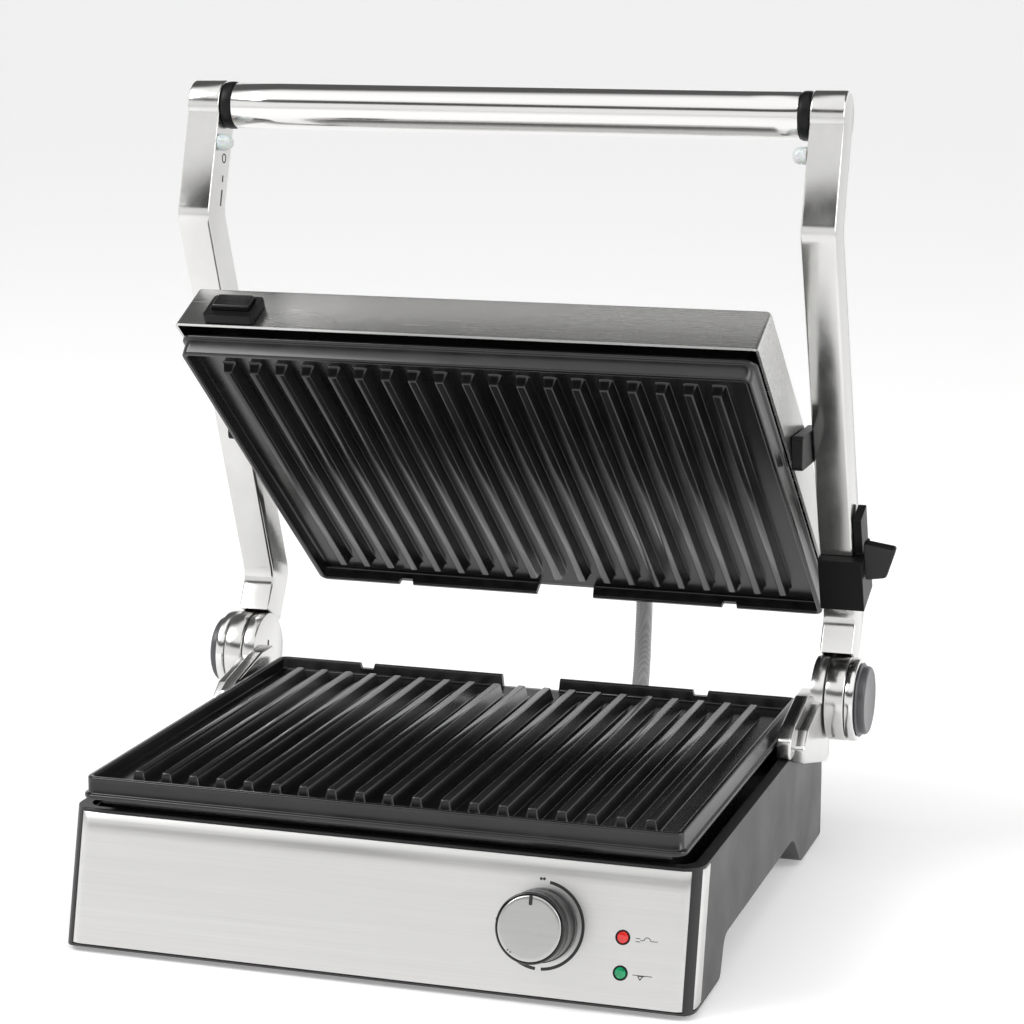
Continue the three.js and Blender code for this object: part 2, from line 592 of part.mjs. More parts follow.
function hingeCap(name, side) {
  const near = discFar + clearance;
  const wide = rodX(...mirrored(side, near, capEnd - 1), hinge.y, hinge.z, capRadius, 9);
  const face = rodX(...mirrored(side, capEnd - 1.5, capEnd), hinge.y, hinge.z, capRadius - 1, 9);
  return meshOf(name, join(wide, face), darkMetal);
}

// Arms
const pinEnd = armInner + 6;
const pinBore = pivot.pinRadius + clearance;
const armLean = Math.atan2(elbow.y - wrist.y, wrist.z - elbow.z);
// Outline of a band of even width round a bent line.
const band = (points, half, radii) => {
  const offset = (sign) => points.map((point, i) => {
    const before = points[i - 1] && [points[i - 1], point];
    const after = points[i + 1] && [point, points[i + 1]];
    const runs = [before, after].filter(Boolean);
    const normals = runs.map(([[y0, z0], [y1, z1]]) => {
      const length = Math.hypot(y1 - y0, z1 - z0);
      return [(-(z1 - z0) / length) * sign, ((y1 - y0) / length) * sign];
    });
    const sum = normals.reduce(([a, b], [c, d]) => [a + c, b + d], [0, 0]);
    const scale = half / ((sum[0] * normals[0][0] + sum[1] * normals[0][1]));
    return [point[0] + sum[0] * scale, point[1] + sum[1] * scale, radii[i]];
  });
  return outline([...offset(1), ...offset(-1).reverse()]);
};

function arm(name, side) {
  const line = [[handleAxis.y, handleAxis.z], [wrist.y, wrist.z], [elbow.y, elbow.z], [hinge.y, hinge.z]];
  const range = mirrored(side, armInner, armOuter);
  const bar = alongX(band(line, armDepth / 2, [0, 16, 9, 0]), ...range, 6);
  const grip = rodX(...range, handleAxis.y, handleAxis.z, handle.headRadius, 8);
  const { y, z, discRadius } = hinge;
  const ring = rodX(...mirrored(side, ringStart, armOuter), y, z, discRadius, 9);
  const room = rodX(...mirrored(side, armInner - 5, ringStart), y, z, discRadius + 3 * clearance, 9);
  const pinHole = rodX(...mirrored(side, armInner - 2, pinEnd + clearance), pivot.y, pivot.z, pinBore, 6);
  const made = cut(join(cut(bar, room), grip, ring), hubBore(side), pinHole);
  return meshOf(name, side > 0 ? cut(made, sliderSlot()) : made, castMetal);
}

// Places a shape drawn about the elbow with +Z up along the long run of the arm.
const onArm = new THREE.Matrix4()
  .makeTranslation(0, elbow.y, elbow.z)
  .multiply(new THREE.Matrix4().makeRotationX(armLean));
const sliderSlot = () =>
  turned(box(armOuter - 3, -2.3, slider.start + 6, armOuter + 1, 2.3, slider.slotEnd), onArm);

function lockSlider() {
  const { wrap, start, blockEnd, tongueEnd } = slider;
  const face = armDepth / 2 + clearance;
  const outside = armOuter + clearance;
  const block = join(
    box(armInner, -face - wrap, start, outside + wrap, -face, blockEnd),
    box(outside, -face - wrap, start, outside + wrap, 8, blockEnd),
    box(outside, -8, start, outside + wrap - 1, 8, tongueEnd),
    box(armOuter - 2.6, -2, start + 8, outside + 1, 2, tongueEnd - 4),
  );
  const tabOutline = outline([[outside + wrap - 1, 31], [outside + wrap + slider.tabReach - 6, 33],
    [outside + wrap + slider.tabReach, 51], [outside + wrap - 1, 54]], 2);
  const tabPlate = toSolid(extrude(tabOutline, 5).rotateX(Math.PI / 2).translate(0, -7, 0));
  const shiftTab = turned(tabPlate, new THREE.Matrix4().makeTranslation(clearance + 1, 0, 0));
  const parts = groupOf(meshOf("lock_slider", block, blackPlastic), meshOf("lock_tab", shiftTab, softBlack));
  onArm.decompose(parts.position, parts.quaternion, parts.scale);
  return parts;
}

function armBumper(name, side) {
  const far = armInner - clearance;
  const round = rodX(...mirrored(side, far - bumper.length, far), bumper.y, bumper.z, bumper.radius, 5);
  return meshOf(name, round, silicone);
}

function handleTube() {
  const half = armInner - handle.ringWidth - clearance;
  const ring = disc(handleAxis.y, handleAxis.z, handle.radius);
  ring.holes.push(disc(handleAxis.y, handleAxis.z, handle.radius - handle.wall));
  return meshOf("handle_tube", alongX(ring, -half, half, 8), steel);
}

function handleRing(name, side) {
  const far = armInner - clearance;
  const near = armInner - handle.ringWidth;
  const collar = rodX(...mirrored(side, near, far), handleAxis.y, handleAxis.z, handle.radius + 0.4, 8);
  const plugRadius = handle.radius - handle.wall - clearance;
  const plug = rodX(...mirrored(side, near - 14, near + 1), handleAxis.y, handleAxis.z, plugRadius, 8);
  return meshOf(name, join(collar, plug), softBlack);
}

// Head, drawn level with the plate's rim in the plane Z = 0 and its food side down.
const headFrame = new THREE.Matrix4()
  .makeTranslation(0, headMiddle.y, headMiddle.z)
  .multiply(new THREE.Matrix4().makeRotationX(-headTilt));
const intoHead = (solid) => turned(solid, headFrame.clone().invert());
const coverFront = -(halfPlate.y + 8.5);
const coverRear = halfPlate.y + 6;
const brow = { y: -(halfPlate.y - 6), z: head.crown }; // upper edge of the sloped front band
const heaterShift = -13;
const browSlope = (brow.y - coverFront) / (brow.z - head.skirt);
const coverProfile = () => [
  [coverFront, head.skirt, 1],
  [coverRear, head.skirt, 2],
  [halfPlate.y - 18, 25, 6],
  [halfPlate.y - 116, head.crown, 30],
  [brow.y, brow.z, 8],
];

function coverBlock(amount, low) {
  const profile = inset(coverProfile(), amount).map(([y, z, r], i) => (i < 2 ? [y, low, r] : [y, z, r]));
  if (low < head.skirt) {
    profile[0][0] = coverFront + amount * 1.4 - browSlope * (head.skirt - low);
    profile[1][0] = coverRear - amount * 1.4;
  }
  const half = headHalf - amount;
  const corner = head.corner - amount;
  const side = alongX(outline(profile), -half, half, 4);
  const shear = new THREE.Matrix4().set(1, 0, 0, 0, 0, 1, browSlope, 0, 0, 0, 1, 0, 0, 0, 0, 1);
  const frontEdge = coverFront + amount * 1.4 - browSlope * head.skirt;
  const plan = rectangle(-half, frontEdge, half, coverRear + 90, corner);
  const frontRounding = toSolid(extrude(plan, head.crown + 10, 5).translate(0, 0, -5).applyMatrix4(shear));
  const rearPlan = rectangle(-half, coverFront - 60, half, coverRear - amount, corner);
  const rearRounding = alongZ(rearPlan, -5, head.crown + 5, 5);
  const roof = rectangle(-half, -40, half, head.crown - amount, corner - 2);
  const roofRounding = toSolid(extrude(roof, 2 * plateDepth, 4)
    .translate(0, 0, -plateDepth)
    .rotateX(Math.PI / 2));
  return side.intersect(frontRounding).intersect(rearRounding).intersect(roofRounding);
}

function headCover() {
  const shell = cut(coverBlock(0, head.skirt), coverBlock(head.sheet, head.skirt - 2));
  const pinHoles = sides.map(([, s]) =>
    intoHead(rodX(...mirrored(s, headHalf - 22, headHalf + 18), pivot.y, pivot.z, pinBore, 6)));
  const buttonHole = turned(buttonWell(-8, 4), onBrow);
  const sleeveHole = intoHead(leadSleeve(2 * clearance));
  return meshOf("head_cover", cut(shell, ...pinHoles, buttonHole, sleeveHole), steel);
}

// Black pan that closes the cover and carries the plate's tub on its edge.
const headPanTop = 26.5;
function headPan() {
  const half = halfPlate.x - tubInset;
  const front = -(halfPlate.y - 13);
  const rear = halfPlate.y - 38;
  const floor = 1.7;
  const plan = (inner, radius) =>
    rectangle(-half + inner, front + inner, half - inner, rear - inner, radius);
  const outside = alongZ(plan(0, 9), tubDepth + clearance, headPanTop, 4);
  const inside = alongZ(plan(4, 8), tubDepth - 1, headPanTop - floor, 4);
  const holes = legX.map((x) =>
    alongZ(disc(x, heaterShift - legY, element.radius + 2), headPanTop - 4, headPanTop + 2, 4));
  return meshOf("head_frame", cut(outside, inside, ...holes), blackPlastic);
}

// Shapes on the sloped band are drawn with +Y up the slope and +Z out of it.
const buttonFit = 0.4;
const onBrow = new THREE.Matrix4()
  .makeTranslation(0, coverFront, head.skirt)
  .multiply(new THREE.Matrix4().makeRotationX(Math.atan2(brow.z - head.skirt, brow.y - coverFront)));

function buttonWell(low, high) {
  const { width, height, x, up } = releaseButton;
  const reachX = width / 2 + buttonFit;
  const reachY = height / 2 + buttonFit;
  return box(x - reachX, up - reachY, low, x + reachX, up + reachY, high);
}

function buttonParts() {
  const { width, height, x, up, stand } = releaseButton;
  const plinthHalf = width / 2 + plinth.margin;
  const plinthPlan = rectangle(x - plinthHalf, plinth.low, x + plinthHalf, plinth.high, 2);
  const plate = alongZ(plinthPlan, clearance, plinth.thickness);
  const frame = meshOf("button_plinth", cut(plate, buttonWell(-1, stand)), blackPlastic);
  const capPlan = rectangle(x - width / 2, up - height / 2, x + width / 2, up + height / 2, 1.5);
  const cap = meshOf("upper_release_button", alongZ(capPlan, -5, stand), softBlack);
  const parts = groupOf(frame, cap);
  onBrow.decompose(parts.position, parts.quaternion, parts.scale);
  return parts;
}

function headParts() {
  const plate = grillPlate("upper_grill_plate");
  plate.rotation.y = Math.PI;
  const pan = reflector("upper_heat_reflector");
  pan.rotation.x = Math.PI;
  pan.position.set(0, heaterShift, headPanTop - 2);
  const heater = heatingElement("upper_heating_element");
  heater.rotation.x = Math.PI;
  heater.position.set(0, heaterShift, floorDepth + plateThickness + element.under + element.radius);
  const parts = groupOf(headCover(), headPan(), pan, heater, buttonParts(), plate);
  headFrame.decompose(parts.position, parts.quaternion, parts.scale);
  return parts;
}

function pivotParts(side, word) {
  const { y, z, pinRadius } = pivot;
  const near = headHalf + 0.5;
  const far = armInner - clearance;
  const shape = outline([[y - 30, z - 12], [y + 12, z - 12], [y + 12, z + 6], [y - 30, z + 6]], 3);
  const bore = rodX(...mirrored(side, near - 2, far + 2), y, z, pinBore, 6);
  const block = cut(alongX(shape, ...mirrored(side, near, far)), bore);
  const pin = rodX(...mirrored(side, headHalf - 7, pinEnd), y, z, pinRadius, 6);
  return [meshOf("pivot_block_" + word, block, blackPlastic), meshOf("pivot_pin_" + word, pin, steel)];
}

// Sleeve with the head's wires, from the base up to the back of the head.
function leadSleeve(extra = 0) {
  const { x, y, radius } = leads;
  const bends = [
    [0, 1, -23.45], [-3, 20, -5.45], [-9, 46, 10.55], [-13, 63, 29.55], [-14, 62, 48.55], [-14, 56, 57.55],
  ].map(([across, back, up]) => [x + across, y + back, hinge.z + up]);
  const points = [[x, y, ledgeHeight - 2], ...bends];
  return tubeAlong(points, radius + extra, leads.pace, 10);
}

function build() {
  const lowerPlate = grillPlate("lower_grill_plate");
  lowerPlate.position.z = rimHeight;
  const lowerPan = reflector("lower_heat_reflector");
  lowerPan.position.z = trayTop + 2;
  const lowerHeater = heatingElement("lower_heating_element");
  lowerHeater.position.z = rimHeight - floorDepth - plateThickness - element.under - element.radius;
  const whole = groupOf(
    baseHousing(), frontPanel(), bottomCover(), deckTray(), lowerPan, lowerHeater, lowerPlate,
    thermostat(), knobParts(), lampParts(), terminalBlock(), cordGland(), dripTray(),
    ...footPlaces.map(([word, s, y]) => foot("foot_" + word, s, y)),
    ...coverScrews.map(([x, y], i) => coverScrew("cover_screw_" + (i + 1), x, y)),
    ...sides.flatMap(([word, s]) => [
      hingeBracket("hinge_bracket_" + word, s),
      hingeHub("hinge_hub_" + word, s),
      hingeDisc("hinge_disc_" + word, s),
      hingeCap("hinge_cap_" + word, s),
      arm("arm_" + word, s),
      armBumper("arm_bumper_" + word, s),
      handleRing("handle_ring_" + word, s),
      ...pivotParts(s, word),
    ]),
    handleTube(), lockSlider(), headParts(), meshOf("heater_lead_sleeve", leadSleeve(), greySleeve),
  );
  // The origin is the middle of the outline on the table.
  const bounds = new THREE.Box3().setFromObject(whole, true);
  const middle = bounds.getCenter(new THREE.Vector3());
  whole.position.set(-middle.x, -middle.y, -bounds.min.z);
  return groupOf(whole);
}

export default build();
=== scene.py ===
import json
import math

import bmesh
import bpy
from mathutils import Matrix, Vector


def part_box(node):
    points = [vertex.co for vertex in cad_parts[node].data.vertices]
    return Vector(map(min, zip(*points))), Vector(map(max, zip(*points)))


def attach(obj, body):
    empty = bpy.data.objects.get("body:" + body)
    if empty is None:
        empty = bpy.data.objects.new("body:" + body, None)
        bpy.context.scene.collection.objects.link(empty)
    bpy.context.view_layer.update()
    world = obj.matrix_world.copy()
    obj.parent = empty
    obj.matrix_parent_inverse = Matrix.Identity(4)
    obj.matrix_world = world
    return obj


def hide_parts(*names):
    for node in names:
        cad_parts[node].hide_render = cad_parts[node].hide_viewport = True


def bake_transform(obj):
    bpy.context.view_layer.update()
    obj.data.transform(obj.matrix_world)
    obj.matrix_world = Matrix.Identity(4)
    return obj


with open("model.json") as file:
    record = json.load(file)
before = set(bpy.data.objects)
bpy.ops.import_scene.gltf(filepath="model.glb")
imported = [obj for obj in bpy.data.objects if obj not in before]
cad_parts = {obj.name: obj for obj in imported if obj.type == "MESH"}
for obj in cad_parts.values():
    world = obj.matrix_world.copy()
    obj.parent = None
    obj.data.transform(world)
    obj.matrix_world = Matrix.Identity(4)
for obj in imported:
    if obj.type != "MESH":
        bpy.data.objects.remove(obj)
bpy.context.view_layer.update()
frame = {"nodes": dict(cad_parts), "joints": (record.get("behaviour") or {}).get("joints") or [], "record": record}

mm = 0.001
nodes = frame["nodes"]
joints = {j["name"]: j for j in frame["joints"]}

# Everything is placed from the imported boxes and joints: x and y run from the middle of the lower plate.
plateLow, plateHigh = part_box("lower_grill_plate")
middle = Vector(((plateLow.x + plateHigh.x) / 2, (plateLow.y + plateHigh.y) / 2, 0))
hingeAt = Vector(joints["arm_hinge"]["pos_m"]) - middle
pivotAt = Vector(joints["head_level"]["pos_m"]) - middle
rimZ = plateHigh.z


def at(x, y, z):
    return Matrix.Translation(middle + Vector((x, y, z)) * mm)


releaseAxis = Vector(joints["upper_plate_release"]["axis"])
headTilt = math.atan2(-releaseAxis.y, -releaseAxis.z)
headInPivot = Vector((0, -15.1, -33.15)) * mm  # the head's own middle, from its pivot
headPlace = Matrix.Translation(middle + pivotAt + headInPivot) @ Matrix.Rotation(-headTilt, 4, "X")
pressAxis = Vector(joints["release_button_press"]["axis"])
knobAxis = Vector(joints["heat_knob_turn"]["axis"])
knobPlace = Matrix.Translation(Vector(joints["heat_knob_turn"]["pos_m"])) @ (-knobAxis).to_track_quat("Z", "Y").to_matrix().to_4x4()


# Shader expressions
class Channel:
    def __init__(self, recipe, socket):
        self.recipe = recipe
        self.socket = socket

    def math(self, operation, first, second):
        return self.recipe.node("ShaderNodeMath", {"operation": operation}, {0: first, 1: second})

    def __add__(self, other):
        return self.math("ADD", self, other)

    def __radd__(self, other):
        return self.math("ADD", other, self)

    def __sub__(self, other):
        return self.math("SUBTRACT", self, other)

    def __rsub__(self, other):
        return self.math("SUBTRACT", other, self)

    def __mul__(self, other):
        return self.math("MULTIPLY", self, other)

    def __rmul__(self, other):
        return self.math("MULTIPLY", other, self)

    def __truediv__(self, other):
        return self.math("DIVIDE", self, other)

    def __pow__(self, other):
        return self.math("POWER", self, other)

    def clamped(self, low, high):
        return self.recipe.node("ShaderNodeMapRange", {"clamp": True}, {0: self, 1: low, 2: high, 3: 0.0, 4: 1.0})


class Recipe:
    def __init__(self, name):
        self.material = bpy.data.materials.new(name)
        self.material.use_nodes = True
        self.tree = self.material.node_tree
        self.shader = self.tree.nodes["Principled BSDF"]

    def plug(self, socket, value):
        if isinstance(value, Channel):
            self.tree.links.new(value.socket, socket)
        elif isinstance(value, (tuple, list)) and socket.type == "RGBA" and len(value) == 3:
            socket.default_value = (*value, 1)
        else:
            socket.default_value = value

    def node(self, kind, settings=None, inputs=None, out=0):
        made = self.tree.nodes.new(kind)
        for key, value in (settings or {}).items():
            if key == "stops":
                ramp = made.color_ramp.elements
                for place, _ in value[1:-1]:
                    ramp.new(place)
                for element, (place, color) in zip(ramp, value):
                    element.position = place
                    element.color = (*color, 1)
            else:
                setattr(made, key, value)
        for key, value in (inputs or {}).items():
            self.plug(made.inputs[key], value)
        return Channel(self, made.outputs[out])

    def place(self, stretch=(1, 1, 1), turn=(0, 0, 0)):
        coords = self.node("ShaderNodeTexCoord", out="Object")
        return self.node("ShaderNodeMapping", {}, {"Vector": coords, "Scale": stretch, "Rotation": turn})

    def noise(self, where, scale, detail=3.0, rough=0.55):
        return self.node("ShaderNodeTexNoise", {}, {"Vector": where, "Scale": scale, "Detail": detail, "Roughness": rough}, out="Fac")

    def blendColors(self, fac, dark, light):
        return self.node("ShaderNodeMix", {"data_type": "RGBA"}, {0: fac, 6: dark, 7: light}, out=2)

    def bump(self, height, strength, distance, onto=None):
        inputs = {"Height": height, "Strength": strength, "Distance": distance}
        if onto is not None:
            inputs["Normal"] = onto
        return self.node("ShaderNodeBump", {}, inputs)

    def edges(self):
        # lighter where a surface turns outwards sharply: partly edge wear, partly a painted highlight on the edges
        pointy = self.node("ShaderNodeNewGeometry", out="Pointiness")
        return pointy.clamped(0.56, 0.70)

    def finish(self, **sockets):
        for key, value in sockets.items():
            self.plug(self.shader.inputs[key.replace("_", " ")], value)
        return self.material


def brushedMetal(name, tone, along, rough=(0.22, 0.36), grain=1.0, deep=0.06):
    # fine scratches all along one axis over broad, faint smudges
    r = Recipe(name)
    stretch = {"x": (6, 900, 900), "y": (900, 6, 900), "z": (900, 900, 6)}[along]
    fine = r.noise(r.place(stretch), 1.6 * grain, 4.0, 0.65)
    streak = {"x": (2, 160, 160), "y": (160, 2, 160), "z": (160, 160, 2)}[along]
    broad = r.noise(r.place(streak), 1.3 * grain, 3.0, 0.5)
    smudge = r.noise(r.place(), 9.0, 3.0, 0.5)
    mask = (fine * 0.6 + broad * 0.4).clamped(0.3, 0.7)
    dark = tuple(c * (1 - deep) for c in tone)
    light = tuple(min(1.0, c * (1 + deep)) for c in tone)
    return r.finish(
        Base_Color=r.blendColors(mask, dark, light),
        Metallic=1.0,
        Roughness=rough[0] + (rough[1] - rough[0]) * (mask * 0.6 + smudge.clamped(0.35, 0.7) * 0.4),
        Normal=r.bump(fine, 0.16, 0.00004),
    )


def castMetal(name, tone, rough=(0.13, 0.24), wave=0.35):
    # satin die casting: soft waves under a faint pitted grain, with bright edges that are partly wear and partly a
    # painted highlight
    r = Recipe(name)
    waves = r.noise(r.place((1, 1, 0.45)), 22.0, 2.0, 0.4)
    grain = r.noise(r.place(), 900.0, 3.0, 0.6)
    smudge = r.noise(r.place((1, 1, 0.6)), 34.0, 4.0, 0.6)
    edgeWearAndHighlight = r.edges()
    dark = tuple(c * 0.90 for c in tone)
    body = r.blendColors(smudge.clamped(0.35, 0.65), dark, tone)
    return r.finish(
        Base_Color=r.blendColors(edgeWearAndHighlight * 0.7, body, tuple(min(1.0, c * 1.18) for c in tone)),
        Metallic=1.0,
        Roughness=rough[0] + (rough[1] - rough[0]) * smudge.clamped(0.3, 0.7),
        Normal=r.bump(grain, 0.10, 0.00005, onto=r.bump(waves, wave, 0.0012)),
    )


def moulded(name, tone, rough=(0.38, 0.52), grain=2600.0, strength=0.16, edgeTone=None, coat=0.0, shine=0.5):
    # spark-eroded plastic grain; the edges are a little lighter and shinier, partly wear where hands rub and partly a
    # painted highlight
    r = Recipe(name)
    pits = r.noise(r.place(), grain, 2.0, 0.5)
    patches = r.noise(r.place(), 26.0, 3.0, 0.5)
    edgeWearAndHighlight = r.edges()
    # edge colour: partly wear, partly a painted highlight
    light = edgeTone or tuple(c * 2.1 + 0.012 for c in tone)
    body = r.blendColors(patches.clamped(0.3, 0.7), tuple(c * 0.86 for c in tone), tuple(c * 1.16 for c in tone))
    return r.finish(
        Base_Color=r.blendColors(edgeWearAndHighlight * 0.55, body, light),
        Roughness=rough[0] + (rough[1] - rough[0]) * patches.clamped(0.3, 0.7) - edgeWearAndHighlight * 0.06,
        Normal=r.bump(pits, strength, 0.00006),
        Coat_Weight=coat,
        Specular_IOR_Level=shine,
    )


def plateCoating(name):
    # black non-stick: tiny orange-peel, faint mottling from baking, edges a little lighter, partly rubbed wear and
    # partly a painted highlight
    r = Recipe(name)
    peel = r.noise(r.place(), 1500.0, 3.0, 0.6)
    bake = r.noise(r.place((1, 0.6, 1)), 30.0, 4.0, 0.6)
    specks = r.noise(r.place(), 5200.0, 1.0, 0.5)
    edgeWearAndHighlight = r.edges()
    body = r.blendColors(bake.clamped(0.3, 0.7), (0.0075, 0.0075, 0.008), (0.014, 0.014, 0.0145))
    dusty = r.blendColors(specks.clamped(0.70, 0.76) * 0.3, body, (0.05, 0.05, 0.05))
    return r.finish(
        Base_Color=r.blendColors(edgeWearAndHighlight * 0.3, dusty, (0.06, 0.06, 0.058)),
        Roughness=0.17 + 0.10 * bake.clamped(0.3, 0.7),
        Normal=r.bump(peel, 0.14, 0.00006),
        IOR=1.55,
    )


def glowLens(name, tone, deep):
    r = Recipe(name)
    rings = r.noise(r.place(), 700.0, 2.0, 0.5)
    return r.finish(
        Base_Color=r.blendColors(rings.clamped(0.3, 0.7), deep, tone),
        Roughness=0.12 + 0.08 * rings,
        Normal=r.bump(rings, 0.08, 0.00008),
        Emission_Color=r.blendColors(rings.clamped(0.3, 0.7), deep, tone),
        Emission_Strength=0.12,
        Coat_Weight=0.6,
    )


def woven(name, tone):
    # braided glass-fibre sleeve
    r = Recipe(name)
    a = r.node("ShaderNodeTexWave", {"wave_type": "BANDS", "bands_direction": "DIAGONAL"},
               {"Vector": r.place(), "Scale": 260.0, "Distortion": 0.6}, out="Fac")
    b = r.node("ShaderNodeTexWave", {"wave_type": "BANDS", "bands_direction": "DIAGONAL"},
               {"Vector": r.place((-1, 1, -1)), "Scale": 260.0, "Distortion": 0.6}, out="Fac")
    weave = a * b
    fuzz = r.noise(r.place(), 3000.0, 2.0, 0.6)
    return r.finish(
        Base_Color=r.blendColors(weave, tuple(c * 0.72 for c in tone), tuple(c * 1.15 for c in tone)),
        Roughness=0.55 + 0.2 * fuzz,
        Normal=r.bump(weave, 0.5, 0.0003),
    )


def milky(name):
    r = Recipe(name)
    cloud = r.noise(r.place(), 300.0, 3.0, 0.6)
    return r.finish(
        Base_Color=r.blendColors(cloud.clamped(0.3, 0.7), (0.78, 0.79, 0.78), (0.92, 0.92, 0.90)),
        Roughness=0.22 + 0.12 * cloud,
        Normal=r.bump(cloud, 0.05, 0.0002),
        Transmission_Weight=0.35,
        Subsurface_Weight=0.3,
    )


def ceramic(name, tone):
    r = Recipe(name)
    speck = r.noise(r.place(), 420.0, 3.0, 0.6)
    return r.finish(
        Base_Color=r.blendColors(speck.clamped(0.35, 0.7), tuple(c * 0.85 for c in tone), tone),
        Roughness=0.6 + 0.2 * speck,
        Normal=r.bump(speck, 0.2, 0.0002),
    )


def heatedSteel(name):
    # heater tube: straw and blue tempering over dark oxide
    r = Recipe(name)
    patches = r.noise(r.place(), 40.0, 4.0, 0.6)
    tint = r.node("ShaderNodeValToRGB", {"stops": [
        (0.3, (0.05, 0.045, 0.045)), (0.5, (0.12, 0.085, 0.06)), (0.62, (0.09, 0.09, 0.12)), (0.75, (0.2, 0.17, 0.13))]},
        {0: patches})
    return r.finish(Base_Color=tint, Metallic=0.8, Roughness=0.35 + 0.25 * patches, Normal=r.bump(patches, 0.1, 0.0003))


looks = {
    "panelSteel": brushedMetal("panelSteel", (0.71, 0.705, 0.695), "x", (0.26, 0.40), 1.0, 0.05),
    "coverSteel": brushedMetal("coverSteel", (0.62, 0.62, 0.61), "x", (0.20, 0.32), 1.0, 0.05),
    "tubeSteel": brushedMetal("tubeSteel", (0.80, 0.79, 0.78), "x", (0.10, 0.17), 1.0, 0.03),
    "capSteel": brushedMetal("capSteel", (0.50, 0.50, 0.49), "x", (0.24, 0.36), 1.4, 0.06),
    "discSteel": brushedMetal("discSteel", (0.80, 0.80, 0.79), "x", (0.12, 0.20), 1.2, 0.03),
    "armCasting": castMetal("armCasting", (0.72, 0.715, 0.70)),
    "bracketCasting": castMetal("bracketCasting", (0.76, 0.755, 0.745), (0.16, 0.28), 0.25),
    "capPaint": moulded("capPaint", (0.075, 0.075, 0.082), (0.26, 0.36), 2000.0, 0.08),
    "plainSteel": brushedMetal("plainSteel", (0.55, 0.55, 0.55), "x", (0.25, 0.4), 1.0, 0.1),
    "nonStick": plateCoating("nonStick"),
    "housingBlack": moulded("housingBlack", (0.017, 0.017, 0.018), (0.34, 0.46)),
    "deckBlack": moulded("deckBlack", (0.009, 0.009, 0.0095), (0.22, 0.32), 2600.0, 0.06),
    "softBlack": moulded("softBlack", (0.006, 0.006, 0.0063), (0.34, 0.46), 2200.0, 0.10, shine=0.22),
    "knobBlack": moulded("knobBlack", (0.008, 0.008, 0.0085), (0.16, 0.24), 2200.0, 0.03),
    "footRubber": moulded("footRubber", (0.02, 0.02, 0.02), (0.7, 0.85), 1500.0, 0.3),
    "tabPlastic": moulded("tabPlastic", (0.03, 0.03, 0.03), (0.34, 0.46), 2200.0, 0.08, edgeTone=(0.30, 0.30, 0.30), shine=0.3),
    "milkySilicone": milky("milkySilicone"),
    "sleeveWeave": woven("sleeveWeave", (0.74, 0.74, 0.75)),
    "heaterTube": heatedSteel("heaterTube"),
    "reflectorSheet": brushedMetal("reflectorSheet", (0.6, 0.6, 0.6), "x", (0.25, 0.4), 0.6, 0.08),
    "insulator": ceramic("insulator", (0.72, 0.69, 0.62)),
    "redLens": glowLens("redLens", (0.75, 0.03, 0.025), (0.42, 0.008, 0.008)),
    "greenLens": glowLens("greenLens", (0.0, 0.36, 0.14), (0.0, 0.16, 0.06)),
    "printInk": moulded("printInk", (0.015, 0.015, 0.016), (0.42, 0.5), 1800.0, 0.05),
}
print("stage: materials", len(looks))


# Meshes
def arcCorner(before, here, after, radius, steps):
    # points of a rounded corner, a true arc tangent to both edges
    a, b = (before - here), (after - here)
    la, lb = a.length, b.length
    a.normalize()
    b.normalize()
    angle = a.angle(b)
    if radius <= 0 or angle > math.pi - 1e-3:
        return [here.copy()]
    reach = min(radius / math.tan(angle / 2), la * 0.49, lb * 0.49)
    radius = reach * math.tan(angle / 2)
    centre = here + (a + b).normalized() * (radius / math.sin(angle / 2))
    start, end = here + a * reach - centre, here + b * reach - centre
    sweep = start.angle_signed(end)
    return [centre + Matrix.Rotation(-sweep * i / steps, 2) @ start for i in range(steps + 1)]


def rounded(points, radius=0.0, steps=6):
    # closed outline with rounded corners; a point may carry its own radius
    count = len(points)
    flat = [Vector(p[:2]) for p in points]
    out = []
    for i, p in enumerate(points):
        own = p[2] if len(p) > 2 else radius
        out += arcCorner(flat[i - 1], flat[i], flat[(i + 1) % count], own, steps)
    return out


def rectangle(x0, y0, x1, y1, radius, steps=8):
    return rounded([(x0, y0), (x1, y0), (x1, y1), (x0, y1)], radius, steps)


def newMesh():
    return bmesh.new()


def loft(bm, loops, capFirst=True, capLast=True, closed=True):
    # skin over a run of loops with equal counts
    rings = [[bm.verts.new(Vector(p) * mm) for p in loop] for loop in loops]
    count = len(rings[0])
    for low, high in zip(rings, rings[1:]):
        for i in range(count if closed else count - 1):
            j = (i + 1) % count
            bm.faces.new((low[i], low[j], high[j], high[i]))
    if capFirst:
        bm.faces.new(list(reversed(rings[0])))
    if capLast:
        bm.faces.new(rings[-1])
    return rings


def slabX(bm, outline, x0, x1, bevel=0.0, steps=3):
    # a Y-Z outline run along X, its two edges rounded over
    stations = edgeStations(x0, x1, bevel, steps)
    loops = [[(x, p.x, p.y) for p in insetOutline(outline, inset)] for x, inset in stations]
    loft(bm, loops)


def slabZ(bm, outline, z0, z1, bevel=0.0, steps=3):
    stations = edgeStations(z0, z1, bevel, steps)
    loops = [[(p.x, p.y, z) for p in insetOutline(outline, inset)] for z, inset in stations]
    loft(bm, loops)


def edgeStations(a, b, bevel, steps):
    if bevel <= 0:
        return [(a, 0.0), (b, 0.0)]
    turn = [math.pi / 2 * i / steps for i in range(steps + 1)]
    first = [(a + bevel * (1 - math.cos(t)), bevel * (1 - math.sin(t))) for t in turn]
    last = [(b - bevel * (1 - math.cos(t)), bevel * (1 - math.sin(t))) for t in reversed(turn)]
    return first + last


